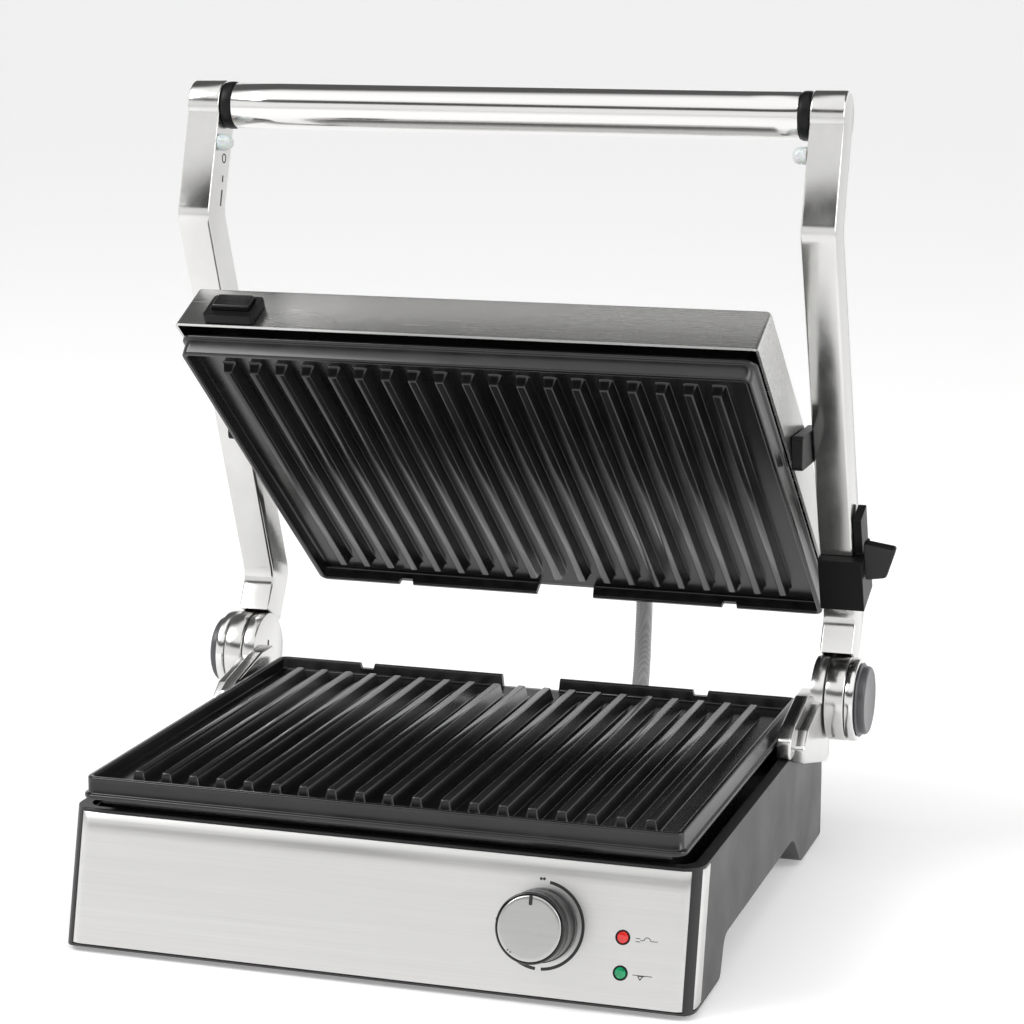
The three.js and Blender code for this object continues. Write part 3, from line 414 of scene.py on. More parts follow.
def insetOutline(points, amount):
    # each point moved inwards along its own corner, for an outline that runs anticlockwise
    if amount == 0:
        return points
    count = len(points)
    moved = []
    for i, p in enumerate(points):
        before, after = (p - points[i - 1]), (points[(i + 1) % count] - p)
        na = Vector((-before.y, before.x)).normalized()
        nb = Vector((-after.y, after.x)).normalized()
        middleNormal = na + nb
        middleNormal = middleNormal / max(0.3, middleNormal.length_squared / 2)
        moved.append(p + middleNormal * amount)
    return moved


def lathe(bm, profile, steps=64, axis="z", centre=(0, 0, 0)):
    # profile of (radius, height) pairs turned about an axis; ends on the axis are closed by a cap
    loops = []
    for radius, height in profile:
        ring = []
        for i in range(steps):
            a = 2 * math.pi * i / steps
            u, v = radius * math.cos(a), radius * math.sin(a)
            point = {"z": (u, v, height), "x": (height, u, v)}[axis]
            ring.append(tuple(point[k] + centre[k] for k in range(3)))
        loops.append(ring)
    loft(bm, loops)


def tubeRings(points, radius, sides, steps):
    # rings of a round tube through points, smoothed with a spline
    knots = [Vector(p) for p in points]
    path = []
    padded = [knots[0] * 2 - knots[1], *knots, knots[-1] * 2 - knots[-2]]
    for i in range(1, len(padded) - 2):
        a, b, c, d = padded[i - 1:i + 3]
        for s in range(steps):
            t = s / steps
            path.append(0.5 * ((2 * b) + (c - a) * t + (2 * a - 5 * b + 4 * c - d) * t * t + (3 * b - a - 3 * c + d) * t ** 3))
    path.append(knots[-1])
    rings = []
    side = Vector((1, 0, 0))
    for i, p in enumerate(path):
        run = (path[min(i + 1, len(path) - 1)] - path[max(i - 1, 0)]).normalized()
        side = (side - run * side.dot(run)).normalized()
        up = run.cross(side)
        angles = [2 * math.pi * k / sides for k in range(sides)]
        rings.append([p + (side * math.cos(a) + up * math.sin(a)) * radius for a in angles])
    return rings


def boxRounded(bm, low, high, radius, steps=2):
    plan = rectangle(low[0], low[1], high[0], high[1], radius, steps)
    slabZ(bm, plan, low[2], high[2], radius, steps)


def transformed(bm, matrix, start=0):
    bm.verts.ensure_lookup_table()
    bmesh.ops.transform(bm, matrix=matrix, verts=bm.verts[start:])


def makePiece(name, bm, look, body, replaced=(), sharp=38.0, place=None, bevel=0.0, segments=2, extraLooks=()):
    # closes the mesh work: normals, smooth shading, edge rounding, finish and the body it rides on
    bmesh.ops.recalc_face_normals(bm, faces=bm.faces)
    mesh = bpy.data.meshes.new(name)
    bm.to_mesh(mesh)
    bm.free()
    if place is not None:
        mesh.transform(place)
    obj = bpy.data.objects.new(name, mesh)
    bpy.context.scene.collection.objects.link(obj)
    for one in (look, *extraLooks):
        mesh.materials.append(looks[one])
    mesh.shade_smooth()
    mesh.set_sharp_from_angle(angle=math.radians(sharp))
    sides = [0] * len(mesh.edges)
    for corner in mesh.loops:
        sides[corner.edge_index] += 1
    for edge, count in zip(mesh.edges, sides):
        edge.use_edge_sharp = edge.use_edge_sharp or count == 1  # the rim of an open sheet stays crisp
    if bevel > 0:
        rounding = obj.modifiers.new("edgeRounding", "BEVEL")
        rounding.width = bevel * mm
        rounding.segments = segments
        rounding.limit_method = "ANGLE"
        rounding.angle_limit = math.radians(32)
        rounding.harden_normals = True
    if body:
        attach(obj, body)
    if replaced:
        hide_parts(*replaced)
    return obj


bodyOf = {n: b for b, members in frame["record"]["behaviour"]["bodies"].items() for n in members}


def softened(node, look, bevel=0.6, segments=2, name=None):
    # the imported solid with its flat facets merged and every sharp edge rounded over
    bm = newMesh()
    bm.from_mesh(nodes[node].data)
    bmesh.ops.remove_doubles(bm, verts=bm.verts, dist=2e-6)
    bmesh.ops.dissolve_limit(bm, angle_limit=math.radians(0.6), verts=bm.verts, edges=bm.edges)
    return makePiece(name or node + "_finished", bm, look, bodyOf[node], (node,), bevel=bevel, segments=segments)


# Grill plates
plate = {
    "halfWidth": 150.0, "halfDepth": 126.0, "corner": 5.0, "floor": -7.0, "tubInset": 6.0,
    "gap": 33.0, "notchX": 96.5, "notchWidth": 8.0, "notchDeep": 3.0,
    "ribs": 19, "pitch": 14.45, "ribFoot": 7.2, "ribTop": 3.8, "ribHeight": 6.4, "ribEnd": 18.0,
}


def plateLoop(outset, height):
    # one turn round the plate; the back edge has extra points where the drain gap and notches start
    w, d = plate["halfWidth"] + outset, plate["halfDepth"] + outset
    r = max(1.0, plate["corner"] + outset)
    steps = 8
    points = []
    for cx, cy, a0 in ((-w + r, -d + r, 180), (w - r, -d + r, 270), (w - r, d - r, 0), (-w + r, d - r, 90)):
        for i in range(steps + 1):
            a = math.radians(a0 + 90 * i / steps)
            points.append((cx + r * math.cos(a), cy + r * math.sin(a)))
        if a0 == 0:
            xs = []
            for mid, half in ((plate["notchX"], plate["notchWidth"] / 2), (0, plate["gap"] / 2), (-plate["notchX"], plate["notchWidth"] / 2)):
                xs += [mid + half + 0.35, mid + half - 0.35, mid - half + 0.35, mid - half - 0.35]
            points += [(x, d) for x in xs]
    out = []
    for x, y in points:
        cap = 0.0
        if y > d - 0.01:
            if abs(x) < plate["gap"] / 2:
                cap = plate["floor"]
            elif abs(abs(x) - plate["notchX"]) < plate["notchWidth"] / 2:
                cap = -plate["notchDeep"]
        out.append((x, y, min(height, cap)))
    return out


def ribSection(x, y, share, widen):
    # half-round shouldered rib with a flared foot; share is its height at this station
    foot, top, h = plate["ribFoot"] / 2 * widen, plate["ribTop"] / 2 * widen, plate["ribHeight"] * share
    outline = [(-foot - 0.9, -0.2), (-foot - 0.3, 0.1), (-foot + 0.1, 0.12 * h), (-top - 0.35, 0.86 * h), (-top - 0.1, 0.95 * h),
               (-top + 0.45, h), (top - 0.45, h), (top + 0.1, 0.95 * h), (top + 0.35, 0.86 * h),
               (foot - 0.1, 0.12 * h), (foot + 0.3, 0.1), (foot + 0.9, -0.2)]
    return [(x + u, y, plate["floor"] + v) for u, v in outline] + [(x, y, plate["floor"] - 1.5)]


def grillPlate(name, node, place):
    bm = newMesh()
    inner = plate["tubInset"]
    profile = [(-inner - 3, -11.0), (-inner - 3, -14.4), (-inner - 2.5, -15.0), (-inner - 0.6, -15.0), (-inner, -14.4), (-inner, -11.6),
               (-inner + 0.6, -10.8), (1.3, -10.8), (1.8, -10.3), (1.8, -8.9), (1.2, -8.3), (0.5, -8.3), (0.0, -7.8),
               (0.0, -1.0), (-0.12, -0.45), (-0.5, -0.1), (-1.0, 0.0), (-2.0, 0.0), (-2.5, -0.1), (-2.88, -0.45), (-3.0, -1.0),
               (-3.1, -5.6), (-3.3, -6.4), (-3.8, -6.85), (-4.6, -7.0)]
    loft(bm, [plateLoop(o, z) for o, z in profile])
    for i in range(plate["ribs"]):
        x = (i - (plate["ribs"] - 1) / 2) * plate["pitch"]
        tip = plate["halfDepth"] - plate["ribEnd"]
        run = [(tip + 0.5, 0.02, 0.9), (tip, 0.06, 0.94), (tip - 0.4, 0.3, 0.96), (tip - 1.1, 0.8, 0.97), (tip - 1.35, 0.93, 0.98),
               (tip - 1.9, 1.0, 1.0)]
        stations = [(-y, s, w) for y, s, w in run] + [(y, s, w) for y, s, w in reversed(run)]
        loft(bm, [ribSection(x, y, s, w) for y, s, w in stations])
    return makePiece(name, bm, "nonStick", bodyOf[node], (node,), sharp=50, place=place)


grillPlate("lowerPlateCasting", "lower_grill_plate", at(0, 0, rimZ / mm))
grillPlate("upperPlateCasting", "upper_grill_plate", headPlace @ Matrix.Rotation(math.pi, 4, "Y"))
print("stage: grill plates")

# Base
base = {"half": 158.8, "foot": -139.0, "slope": 0.249, "low": 3.8, "high": 66.4, "bend": 10.0, "sheet": 0.9, "wing": 6.0}


def panelLoop(z, outset, back=0.0):
    # plan of the steel sheet at one height: along the front and round both corners
    half, bend = base["half"] + outset, base["bend"] + outset
    y0 = base["foot"] + base["slope"] * z
    bendY = y0 + base["bend"]
    points = [(-half, bendY + base["wing"] - back)]
    points += [(-half, bendY)]
    for i in range(1, 13):
        a = math.pi + math.pi / 2 * i / 12
        points.append((-base["half"] + base["bend"] + bend * math.cos(a), bendY + bend * math.sin(a)))
    points += [(x, y0 - outset) for x in (-90, -30, 30, 90)]
    for i in range(0, 12):
        a = 1.5 * math.pi + math.pi / 2 * i / 12
        points.append((base["half"] - base["bend"] + bend * math.cos(a), bendY + bend * math.sin(a)))
    points += [(half, bendY), (half, bendY + base["wing"] - back)]
    return [(x, y, z) for x, y in points]


def frontPanel():
    bm = newMesh()
    t = base["sheet"]
    low, high = base["low"], base["high"]
    outside = [(low + 0.25, 0.0), (low, -0.25), (low, -t + 0.1), (low + 0.1, -t)]
    run = [(high - 0.1, -t), (high, -t + 0.1), (high, -0.25), (high - 0.25, 0.0)]
    profile = run[::1] + [(low + (high - low) * k / 6, 0.0) for k in range(5, 0, -1)] + outside
    loops = [panelLoop(z, o) for z, o in profile]
    rings = loft(bm, loops, capFirst=False, capLast=False, closed=False)
    count = len(rings[0])
    for i in range(count - 1):  # inner skin
        bm.faces.new((rings[-1][i], rings[-1][i + 1], rings[0][i + 1], rings[0][i]))
    for end in (0, count - 1):
        bm.faces.new([ring[end] for ring in rings])
    return makePiece("frontPanelSheet", bm, "panelSteel", "base", ("front_panel",), sharp=50, place=at(0, 0, 0))


frontPanel()
softened("base_housing", "housingBlack", 0.9, 3)
softened("deck_tray", "deckBlack", 0.5, 2)
softened("bottom_cover", "housingBlack", 0.4, 2)
softened("drip_tray", "softBlack", 0.5, 2)
softened("cord_gland", "softBlack", 0.4, 2)


def onPanel(x, z):
    return knobPlace.copy() if x is None else Matrix.Translation(
        middle + Vector((x, base["foot"] + base["slope"] * z, z)) * mm) @ knobPlace.to_3x3().to_4x4()


# panel print and lamps are drawn with x to the right, y up the panel and z out of it
panelTurn = Matrix.Rotation(math.pi / 2 - math.atan(base["slope"]), 4, "X")


def onSheet(x, z):
    return Matrix.Translation(middle + Vector((x, base["foot"] + base["slope"] * z, z)) * mm) @ panelTurn


lamps = {"x": 123.5, "z": {"power_lamp_lens": 34.5, "ready_lamp_lens": 18.6}, "radius": 2.8}


def lampParts():
    for node, z in lamps["z"].items():
        r = lamps["radius"]
        bm = newMesh()
        lathe(bm, [(r + 1.1, -6.2), (r + 1.1, -4.2), (r - 0.05, -4.2), (r - 0.05, 0.15), (r * 0.9, 0.5), (r * 0.6, 0.72), (r * 0.2, 0.8)], 40)
        makePiece(node + "_dome", bm, "redLens" if "power" in node else "greenLens", "base", (node,), place=onSheet(lamps["x"], z))
        bm = newMesh()
        lathe(bm, [(r + 0.1, 0.05), (r + 0.75, 0.05), (r + 0.72, 0.35), (r + 0.5, 0.5), (r + 0.2, 0.42), (r + 0.1, 0.1)], 40)
        bm.faces.ensure_lookup_table()
        makePiece(node + "_bezel", bm, "softBlack", "base", place=onSheet(lamps["x"], z))


def arcBand(bm, radius, width, start, end, z0, z1, steps=48):
    # flat curved band between two clock angles, in degrees from straight up, clockwise
    loops = []
    for i in range(steps + 1):
        a = math.radians(90 - (start + (end - start) * i / steps))
        c, s = math.cos(a), math.sin(a)
        inner, outer = radius - width / 2, radius + width / 2
        loops.append([(inner * c, inner * s, z0), (outer * c, outer * s, z0), (outer * c, outer * s, z1), (inner * c, inner * s, z1)])
    loft(bm, loops)


printed = {"arc": 20.3, "width": 1.5, "lift": 0.02, "thick": 0.09}


def panelPrint():
    # heat scale round the knob and two plain signs beside the lamps
    bm = newMesh()
    z0, z1 = printed["lift"], printed["thick"]
    arcBand(bm, printed["arc"], printed["width"], 8, 176, z0, z1)
    arcBand(bm, printed["arc"], printed["width"], 184, 262, z0, z1)
    for a, size in ((-4, 0.7), (0, 0.7), (272, 0.8)):
        c = math.radians(90 - a)
        x, y = (printed["arc"] + 1.2) * math.cos(c), (printed["arc"] + 1.2) * math.sin(c)
        slabZ(bm, [Vector((x + size * math.cos(t * math.pi / 6), y + size * math.sin(t * math.pi / 6))) for t in range(12)], z0, z1)
    makePiece("heatScalePrint", bm, "printInk", "base", place=onSheet(84, 36))
    bm = newMesh()
    # plug sign: cable, body and two pins
    for x0, y0, x1, y1 in ((6.2, -0.9, 8.4, -0.6), (6.2, 0.6, 8.4, 0.9), (8.4, -0.15, 10.2, 0.15), (13.4, -0.15, 16.6, 0.15)):
        slabZ(bm, rectangle(x0, y0, x1, y1, 0.1, 2), z0, z1)
    arcBand(bm, 1.5, 0.35, -90, 90, z0, z1, 16)
    bm.verts.ensure_lookup_table()
    bmesh.ops.transform(bm, matrix=Matrix.Translation(Vector((11.7, 0, 0)) * mm), verts=bm.verts[-17 * 4:])
    makePiece("powerSignPrint", bm, "printInk", "base", place=onSheet(lamps["x"], 34.0))
    bm = newMesh()
    # ready sign: a bar with a tick under it
    for x0, y0, x1, y1 in ((5.8, 0.0, 15.2, 0.32), (8.2, -0.32, 11.4, 0.0)):
        slabZ(bm, rectangle(x0, y0, x1, y1, 0.1, 2), z0, z1)
    slabZ(bm, rounded([(8.2, -0.3), (9.5, -2.2), (10.8, -0.3), (10.3, -0.3), (9.5, -1.5), (8.7, -0.3)], 0.1, 2), z0, z1)
    makePiece("readySignPrint", bm, "printInk", "base", place=onSheet(lamps["x"], 18.2))


lampParts()
panelPrint()

knob = {"x": 84.0, "z": 36.0, "radius": 17.3, "length": 17.6, "cap": 16.3, "capThick": 2.4}


def knobParts():
    place = onSheet(knob["x"], knob["z"])
    R, L = knob["radius"], knob["length"]
    bm = newMesh()
    lathe(bm, [(3.4, 0.9), (R - 0.4, 0.8), (R, 1.2), (R, 2.9), (R - 0.35, 3.4), (R - 0.5, 4.2), (R - 0.95, L - 2.0), (R - 0.7, L - 1.5),
               (R - 0.68, L + 0.9), (R - 1.0, L + 1.5), (R - 1.55, L + 1.62), (R - 1.75, L + 1.2), (R - 1.8, L - 0.4), (3.4, L - 0.4)], 96)
    makePiece("knobGrip", bm, "knobBlack", "heat_knob", ("knob_body",), place=place, sharp=50)
    bm = newMesh()
    C, T = R - 1.95, knob["capThick"]
    lathe(bm, [(0.6, L + 0.3), (C - 0.2, L + 0.3), (C, L + 0.6), (C, L + T - 0.75), (C - 0.25, L + T - 0.3), (C - 0.8, L + T - 0.05),
               (C - 2.0, L + T), (C * 0.5, L + T + 0.02), (0.6, L + T + 0.03)], 96)
    makePiece("knobFaceplate", bm, "capSteel", "heat_knob", ("knob_cap",), place=place, sharp=50)
    bm = newMesh()
    slabZ(bm, rectangle(-0.85, C - 4.6, 0.85, C - 0.15, 0.5, 4), L + T - 0.5, L + T + 0.22, 0.12, 2)
    makePiece("knobPointer", bm, "printInk", "heat_knob", place=place)
    bm = newMesh()
    for x in (-9.4, -8.0):
        slabZ(bm, [Vector((x + 0.45 * math.cos(t * math.pi / 5), -10.6 - (x + 9.4) * 0.6 + 0.45 * math.sin(t * math.pi / 5))) for t in range(10)],
              L + T - 0.2, L + T + 0.08)
    makePiece("knobDotMarks", bm, "capPaint", "heat_knob", place=place)


knobParts()
print("stage: base and controls")

# Hinges
hinge = {"y": hingeAt.y / mm, "z": hingeAt.z / mm, "radius": 22.5, "cap": 18.4, "hub": 8.0}
across = {"baseHalf": 158.8, "bracketNear": 159.4, "bracketFar": 166.8, "ringStart": 167.4, "armInner": 159.8, "armOuter": 177.8,
          "discFar": 183.0, "capEnd": 188.2}
sides = (("left", -1), ("right", 1))


def discProfile(radius, near, far, lip=0.9, groove=0.0):
    run = [(0.8, near), (radius - lip, near), (radius - 0.3 * lip, near + 0.3 * lip), (radius, near + lip)]
    if groove:
        run += [(radius, groove - 0.5), (radius - 0.5, groove - 0.25), (radius - 0.5, groove + 0.25), (radius, groove + 0.5)]
    return run + [(radius, far - lip), (radius - 0.3 * lip, far - 0.3 * lip), (radius - lip, far), (0.8, far)]


def flipX(bm, side, start=0):
    if side < 0:
        bm.verts.ensure_lookup_table()
        bmesh.ops.transform(bm, matrix=Matrix.Scale(-1, 4, (1, 0, 0)), verts=bm.verts[start:])


def hingeParts(word, side):
    y, z, R = hinge["y"], hinge["z"], hinge["radius"]
    centre = (0, y, z)
    bm = newMesh()
    lathe(bm, discProfile(R, across["bracketNear"], across["bracketFar"], 1.0), 96, "x", centre)
    leg = rounded([(y - 64, z - 19.4), (y - 6, z - 34.4), (y + 2, z - 34.4), (y + 2, z - 22), (y + 14, z - 8),
                   (y, z + 5), (y - 26, z + 2.6), (y - 56, z - 3.4), (y - 66, z - 11.4)], 4, 6)
    slabX(bm, leg, across["baseHalf"] + 0.3, across["bracketFar"] - 0.2, 1.4, 4)
    saddle = rounded([(y - 70, 68.3), (y - 6, 68.3), (y - 6, z + 6.5), (y - 26, z + 6.5), (y - 60, z - 1), (y - 70, z - 6)], 4, 6)
    slabX(bm, saddle, 152.5, across["baseHalf"] + 1.4, 1.2, 4)
    # outlines of two small pressed slots on the inner face, worked out here but not built
    for dz in (4.5, -4.5):
        slot = rounded([(y - 1.6, z + dz - 1.1), (y + 0.4, z + dz - 1.3), (y + 0.8, z + dz + 1.2), (y - 1.2, z + dz + 1.4)], 0.5, 3)
    flipX(bm, side)
    makePiece("hinge_bracket_" + word + "_cast", bm, "bracketCasting", "base", ("hinge_bracket_" + word,), place=at(0, 0, 0))
    bm = newMesh()
    # the two slots are thin black patches on the inner face: painted shade where the pressed recesses would be
    for dz in (5.0, -4.0):
        slot = rounded([(y - 1.5, z + dz - 2.2), (y + 0.3, z + dz - 2.4), (y + 0.9, z + dz + 2.0), (y - 0.9, z + dz + 2.2)], 0.6, 3)
        slabX(bm, slot, across["bracketNear"] - 0.12, across["bracketNear"] + 0.4)
    flipX(bm, side)
    makePiece("hinge_slots_" + word, bm, "softBlack", "base", place=at(0, 0, 0))
    bm = newMesh()
    lathe(bm, discProfile(R, across["armOuter"] + 0.3, across["discFar"], 1.1), 96, "x", centre)
    flipX(bm, side)
    makePiece("hinge_disc_" + word + "_turned", bm, "discSteel", "arms", ("hinge_disc_" + word,), place=at(0, 0, 0))
    bm = newMesh()
    C, near, far = hinge["cap"], across["discFar"] + 0.3, across["capEnd"]
    lathe(bm, [(0.8, near), (C + 1.2, near), (C + 1.6, near + 0.5), (C + 1.0, near + 1.1), (C, near + 1.4), (C, far - 1.6), (C - 0.4, far - 0.7),
               (C - 1.2, far - 0.1), (C - 2.2, far), (C - 4.0, far - 0.25), (0.8, far - 0.5)], 96, "x", centre)
    flipX(bm, side)
    makePiece("hinge_cap_" + word + "_dished", bm, "capPaint", "arms", ("hinge_cap_" + word,), place=at(0, 0, 0))


for word, side in sides:
    hingeParts(word, side)
print("stage: hinges")

# Arms and handle
arm = {"handle": (87.8, 398.0), "wrist": (69.5, 341.5), "elbow": (152.5, 126.5), "half": 11.0, "head": 13.2,
       "wristBend": 16.0, "elbowBend": 12.0, "round": 1.3}


def armOutline():
    top, wrist, elbow = (Vector(arm[k]) for k in ("handle", "wrist", "elbow"))
    root = Vector((hinge["y"], hinge["z"]))
    half = arm["half"]

    def normal(a, b):
        run = (b - a).normalized()
        return Vector((-run.y, run.x))

    n1, n2, n3 = normal(top, wrist), normal(wrist, elbow), normal(elbow, root)

    def mitre(a, b):
        m = a + b
        return m / (m.dot(a))

    stop = root + (elbow - root).normalized() * 22.0
    front, rear = [], []
    for sign, out in ((1, front), (-1, rear)):
        out.append((*(wrist + mitre(n1, n2) * half * sign), arm["wristBend"]))
        out.append((*(elbow + mitre(n2, n3) * half * sign), arm["elbowBend"]))
        out.append((*(stop + n3 * half * sign), 0.0))
    # the round top end, from one side of the bar over to the other
    along = (top - wrist).normalized()
    spread = math.asin(half / arm["head"])
    base0 = math.atan2(along.y, along.x)
    start, end = base0 + math.pi - spread, base0 - math.pi + spread
    cap = [(*(top + Vector((math.cos(a), math.sin(a))) * arm["head"]), 0.0)
           for a in (start + (end - start) * i / 36 for i in range(37))]
    sideA, sideB = sorted((front, rear), key=lambda edge: edge[0][0], reverse=cap[0][0] > cap[-1][0])
    outline = list(reversed(sideA)) + cap + sideB
    points = rounded(outline, 0.0, 10)
    area = sum(p.x * q.y - q.x * p.y for p, q in zip(points, points[1:] + points[:1]))
    return points if area > 0 else list(reversed(points))


armShape = armOutline()
lean = math.atan2(arm["elbow"][0] - arm["wrist"][0], arm["wrist"][1] - arm["elbow"][1])


def armParts(word, side):
    y, z = hinge["y"], hinge["z"]
    bm = newMesh()
    slabX(bm, armShape, across["armInner"], across["armOuter"], arm["round"], 4)
    # ring that turns against the bracket
    lathe(bm, discProfile(hinge["radius"], across["ringStart"], across["armOuter"], 0.9), 96, "x", (0, y, z))
    flipX(bm, side)
    makePiece("arm_" + word + "_cast", bm, "armCasting", "arms", ("arm_" + word,), place=at(0, 0, 0), sharp=45)
    bm = newMesh()
    near = across["armInner"] - 0.3
    lathe(bm, [(0.5, near), (4.4, near), (4.5, near - 0.8), (4.35, near - 4.6), (3.7, near - 6.2), (2.4, near - 7.2), (0.5, near - 7.5)], 40, "x",
          (0, 75.0, 379.0))
    flipX(bm, side)
    makePiece("arm_bumper_" + word + "_dome", bm, "milkySilicone", "arms", ("arm_bumper_" + word,), place=at(0, 0, 0))
    # screw recess and slot on the inner face, drawn as thin black patches: painted shade where the recesses would be
    bm = newMesh()
    lathe(bm, [(0.3, across["armInner"] + 0.5), (2.6, across["armInner"] + 0.5), (2.6, across["armInner"] - 0.1), (2.0, across["armInner"] - 0.15),
               (1.8, across["armInner"] + 0.2), (0.3, across["armInner"] + 0.2)], 32, "x", (0, 81.0, 370.0))
    for (ya, za), (yb, zb) in (((79.0, 361.0), (78.2, 357.5)), ((77.5, 353.5), (74.9, 345.0))):
        run = Vector((yb - ya, zb - za)).normalized() * 0.4
        cross = Vector((-run.y, run.x)) * 1.7
        quad = [Vector((ya, za)) + cross, Vector((ya, za)) - cross, Vector((yb, zb)) - cross, Vector((yb, zb)) + cross]
        slabX(bm, rounded([tuple(q) for q in quad], 0.4, 3), across["armInner"] - 0.08, across["armInner"] + 0.4)
    flipX(bm, side)
    makePiece("arm_recess_" + word, bm, "softBlack", "arms", place=at(0, 0, 0))
    # ring at the end of the handle tube
    bm = newMesh()
    far, inner = across["armInner"] - 0.3, across["armInner"] - 6.0
    R = 12.6
    lathe(bm, [(10.2, inner - 13), (10.4, inner + 0.1), (R - 0.9, inner), (R - 0.2, inner + 0.6), (R, inner + 1.4), (R + 0.05, (far + inner) / 2), (R, far - 1.4),
               (R - 0.2, far - 0.6), (R - 0.9, far), (2.0, far)], 72, "x", (0, *arm["handle"]))
    flipX(bm, side)
    makePiece("handle_ring_" + word + "_rubber", bm, "softBlack", "arms", ("handle_ring_" + word,), place=at(0, 0, 0))


for word, side in sides:
    armParts(word, side)


def handleTube():
    half, R = across["armInner"] - 6.3, 12.2
    bm = newMesh()
    run = [(10.7, -half), (R - 0.25, -half), (R, -half + 0.35)] + [(R, -half + (2 * half) * k / 12) for k in range(1, 12)]
    run += [(R, half - 0.35), (R - 0.25, half), (10.7, half)]
    profile = run
    loops = []
    for radius, x in profile:
        loops.append([(x, arm["handle"][0] + radius * math.cos(2 * math.pi * i / 96), arm["handle"][1] + radius * math.sin(2 * math.pi * i / 96))
                      for i in range(96)])
    rings = loft(bm, loops, capFirst=False, capLast=False)
    for i in range(96):
        j = (i + 1) % 96
        bm.faces.new((rings[-1][i], rings[-1][j], rings[0][j], rings[0][i]))
    makePiece("handleTubeBrushed", bm, "tubeSteel", "arms", ("handle_tube",), place=at(0, 0, 0), sharp=50)


handleTube()
softened("lock_slider", "softBlack", 0.9, 3)
lockTab = softened("lock_tab", "softBlack", 0.7, 3)
lockTab.data.materials.append(looks["tabPlastic"])
for face in lockTab.data.polygons:  # faces turned down and outwards get the paler grey plastic
    if face.normal.z < -0.35 or face.normal.x > 0.8:
        face.material_index = 1
print("stage: arms and handle")

# Head
head = {"half": 153.3, "skirt": 12.5, "crown": 43.5, "sheet": 1.4, "front": -134.5, "rear": 132.0, "brow": -120.0, "roof": 2.6}


def coverOutline(shrink):
    # side view of the cover; shrink pulls every edge but the bottom one inwards
    s = shrink
    slope = (head["brow"] - head["front"]) / (head["crown"] - head["skirt"])
    pull = s * math.hypot(1, slope)
    points = [(head["front"] + pull, head["skirt"], 0.0), (head["rear"] - s, head["skirt"], 0.0), (108.0 - s * 0.5, 25.0 - s * 0.6, 10.0),
              (10.0, head["crown"] - s, 60.0), (head["brow"] + pull - s * slope * 0.35, head["crown"] - s, 2.6)]
    return rounded(points, 0.0, 8)


def headCover():
    bm = newMesh()
    R = head["roof"]
    steps = 8

    def shell(extra, low):
        turn = [math.pi / 2 * i / steps for i in range(steps + 1)]
        half = head["half"] - extra
        xs = [(-half + R * (1 - math.sin(t)), R * (1 - math.cos(t)) + extra) for t in reversed(turn)]
        xs = [(x, s) for x, s in xs]
        xs += [(-x, s) for x, s in reversed(xs)]
        loops = []
        for x, s in xs:
            loops.append([(x, p.x, max(p.y, low)) for p in coverOutline(s)])
        return loops

    outer = shell(0.0, head["skirt"])
    loft(bm, outer)
    bmesh.ops.recalc_face_normals(bm, faces=bm.faces)
    # open underneath: faces on the skirt plane go, and the sheet gets its thickness inwards
    bottom = [f for f in bm.faces if all(abs(v.co.z - head["skirt"] * mm) < 1e-6 for v in f.verts)]
    bmesh.ops.delete(bm, geom=bottom, context="FACES_ONLY")
    obj = makePiece("headCoverShell", bm, "coverSteel", "head", ("head_cover",), place=headPlace, sharp=40)
    thick = obj.modifiers.new("sheetThickness", "SOLIDIFY")
    thick.thickness = head["sheet"] * mm
    thick.offset = -1
    return obj


headCover()
softened("head_frame", "deckBlack", 0.6, 2)
softened("button_plinth", "softBlack", 1.0, 3)
softened("upper_release_button", "knobBlack", 1.0, 3)
for word, side in sides:
    softened("pivot_block_" + word, "softBlack", 0.9, 3)
print("stage: head")

# Wires to the head
sleeve = {"radius": 4.7, "x": 54.8, "y": 146.0, "low": 48.0, "sides": 28, "steps": 12, "margin": 4}


def leadSleeve():
    # one round tube, cut into pieces where its bodies meet; the pieces ride on no body
    x, y = sleeve["x"], sleeve["y"]
    route = [(x, y, sleeve["low"]), (x, y + 1, 62), (x - 3, y + 20, 80), (x - 9, y + 46, 96), (x - 13, y + 63, 115),
             (x - 14, y + 62, 134), (x - 14, y + 50, 142), (x - 14, y + 40, 145.5)]
    rings = tubeRings(route, sleeve["radius"], sleeve["sides"], sleeve["steps"])
    count = sleeve["steps"]
    crossings = [("base", "hinge_hubs", 0, 2), ("hinge_hubs", "arms", 2, 3), ("arms", "head_pivots", 3, 5), ("head_pivots", "head", 5, 7)]
    for lower, upper, first, last in crossings:
        part = rings[first * count:last * count + 1]
        bm = newMesh()
        loft(bm, part, capFirst=first == 0, capLast=upper == "head")
        name = "leadSleeve_" + lower
        obj = makePiece(name, bm, "sleeveWeave", None, place=at(0, 0, 0))
        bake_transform(obj)
        if lower == "base":
            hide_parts("heater_lead_sleeve")


leadSleeve()

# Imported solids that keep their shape
carried = {
    "plainSteel": ["hinge_hub_left", "hinge_hub_right", "pivot_pin_left", "pivot_pin_right", "thermostat_spindle",
                   "cover_screw_1", "cover_screw_2", "cover_screw_3", "cover_screw_4"],
    "footRubber": ["foot_front_left", "foot_front_right", "foot_rear_left", "foot_rear_right"],
    "heaterTube": ["lower_heating_element", "upper_heating_element"],
    "reflectorSheet": ["lower_heat_reflector", "upper_heat_reflector"],
    "insulator": ["thermostat_body", "lamp_holder", "terminal_block"],
}
for look, members in carried.items():
    for node in members:
        nodes[node].data.materials.clear()
        nodes[node].data.materials.append(looks[look])
print("stage: carried solids")

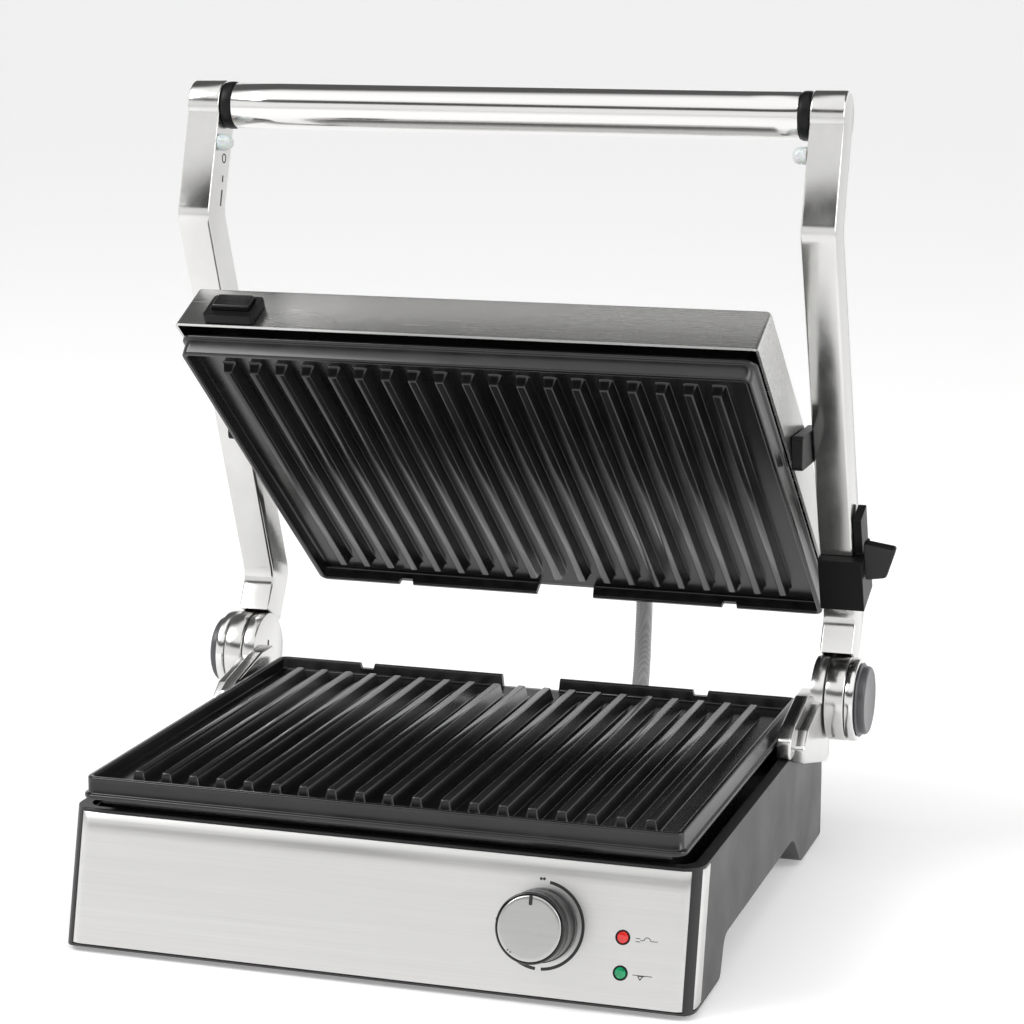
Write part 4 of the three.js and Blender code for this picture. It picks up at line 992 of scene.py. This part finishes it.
# Camera, floor and light
view = {"place": (450.761, -1326.157, 482.326), "azimuth": 0.308414, "elevation": 0.19773, "roll": 0.00064, "lens": 99.483}
cameraData = bpy.data.cameras.new("camera")
cameraData.sensor_width = 36.0
cameraData.lens = view["lens"]
cameraData.clip_start, cameraData.clip_end = 0.01, 200.0
camera = bpy.data.objects.new("camera", cameraData)
bpy.context.scene.collection.objects.link(camera)
az, el = view["azimuth"], view["elevation"]
back = Vector((math.sin(az) * math.cos(el), -math.cos(az) * math.cos(el), math.sin(el)))
rightWay = Vector((0, 0, 1)).cross(back).normalized()
upWay = back.cross(rightWay)
c, s = math.cos(view["roll"]), math.sin(view["roll"])
rightRolled, upRolled = rightWay * c + upWay * s, upWay * c - rightWay * s
turn = Matrix((rightRolled, upRolled, back)).transposed()
camera.matrix_world = Matrix.Translation(middle + Vector(view["place"]) * mm) @ turn.to_4x4()
bpy.context.scene.camera = camera

floorMesh = bpy.data.meshes.new("floor")
reach = 60.0
floorMesh.from_pydata([(-reach, -reach, 0), (reach, -reach, 0), (reach, reach, 0), (-reach, reach, 0)], [], [(0, 1, 2, 3)])
floor = bpy.data.objects.new("floor", floorMesh)
floor.location.z = -0.0004
bpy.context.scene.collection.objects.link(floor)
floorLook = Recipe("floorPale")
floorMesh.materials.append(floorLook.finish(Base_Color=(0.93, 0.93, 0.93), Roughness=0.9, Specular_IOR_Level=0.1,
                                          Emission_Color=(1.0, 1.0, 1.0), Emission_Strength=0.27))

world = bpy.data.worlds.new("studio")
bpy.context.scene.world = world
world.use_nodes = True
worldTree = world.node_tree


class Sky(Recipe):
    def __init__(self, tree):
        self.tree = tree


sky = Sky(worldTree)
direction = sky.node("ShaderNodeTexCoord", out="Generated")
parts = worldTree.nodes.new("ShaderNodeSeparateXYZ")
worldTree.links.new(direction.socket, parts.inputs[0])
height, depth = Channel(sky, parts.outputs[2]), Channel(sky, parts.outputs[1])
# a bright soft box low in front, a dark gap above it, bright overhead, and a dim wall high behind
frontRamp = sky.node("ShaderNodeValToRGB", {"stops": [
    (0.0, (1, 1, 1)), (0.30, (1, 1, 1)), (0.345, (0.05, 0.05, 0.05)), (0.50, (0.05, 0.05, 0.05)), (0.57, (1.15, 1.15, 1.15)), (1.0, (1.2, 1.2, 1.2))]},
    {0: height})
backRamp = sky.node("ShaderNodeValToRGB", {"stops": [
    (0.0, (1.1, 1.1, 1.1)), (0.32, (1.1, 1.1, 1.1)), (0.42, (0.12, 0.12, 0.12)), (0.92, (0.10, 0.10, 0.10)), (0.97, (0.9, 0.9, 0.9)), (1.0, (1.2, 1.2, 1.2))]},
    {0: height})
behind = depth.clamped(-0.12, 0.12)
backdrop = sky.blendColors(behind, frontRamp, backRamp)
isCamera = sky.node("ShaderNodeLightPath", out="Is Camera Ray")
background = worldTree.nodes["Background"]
shown = sky.blendColors(isCamera, backdrop, (1.0, 1.0, 1.0))
worldTree.links.new(shown.socket, background.inputs["Color"])
background.inputs["Strength"].default_value = 1.0


def softLight(name, place, aim, size, power):
    data = bpy.data.lights.new(name, "AREA")
    data.shape = "RECTANGLE"
    data.size, data.size_y = size
    data.energy = power
    light = bpy.data.objects.new(name, data)
    light.location = place
    light.rotation_mode = "QUATERNION"
    light.rotation_quaternion = (Vector(place) - Vector(aim)).to_track_quat("Z", "Y")
    bpy.context.scene.collection.objects.link(light)
    return light


softLight("keyLight", (-1.6, -1.0, 1.9), (0, 0, 0.15), (1.2, 1.2), 26)
softLight("sideLight", (2.0, -0.2, 1.1), (0, 0, 0.15), (1.0, 1.4), 14)
bpy.context.scene.view_settings.view_transform = "Standard"
print("stage: camera and light")

bpy.context.view_layer.update()
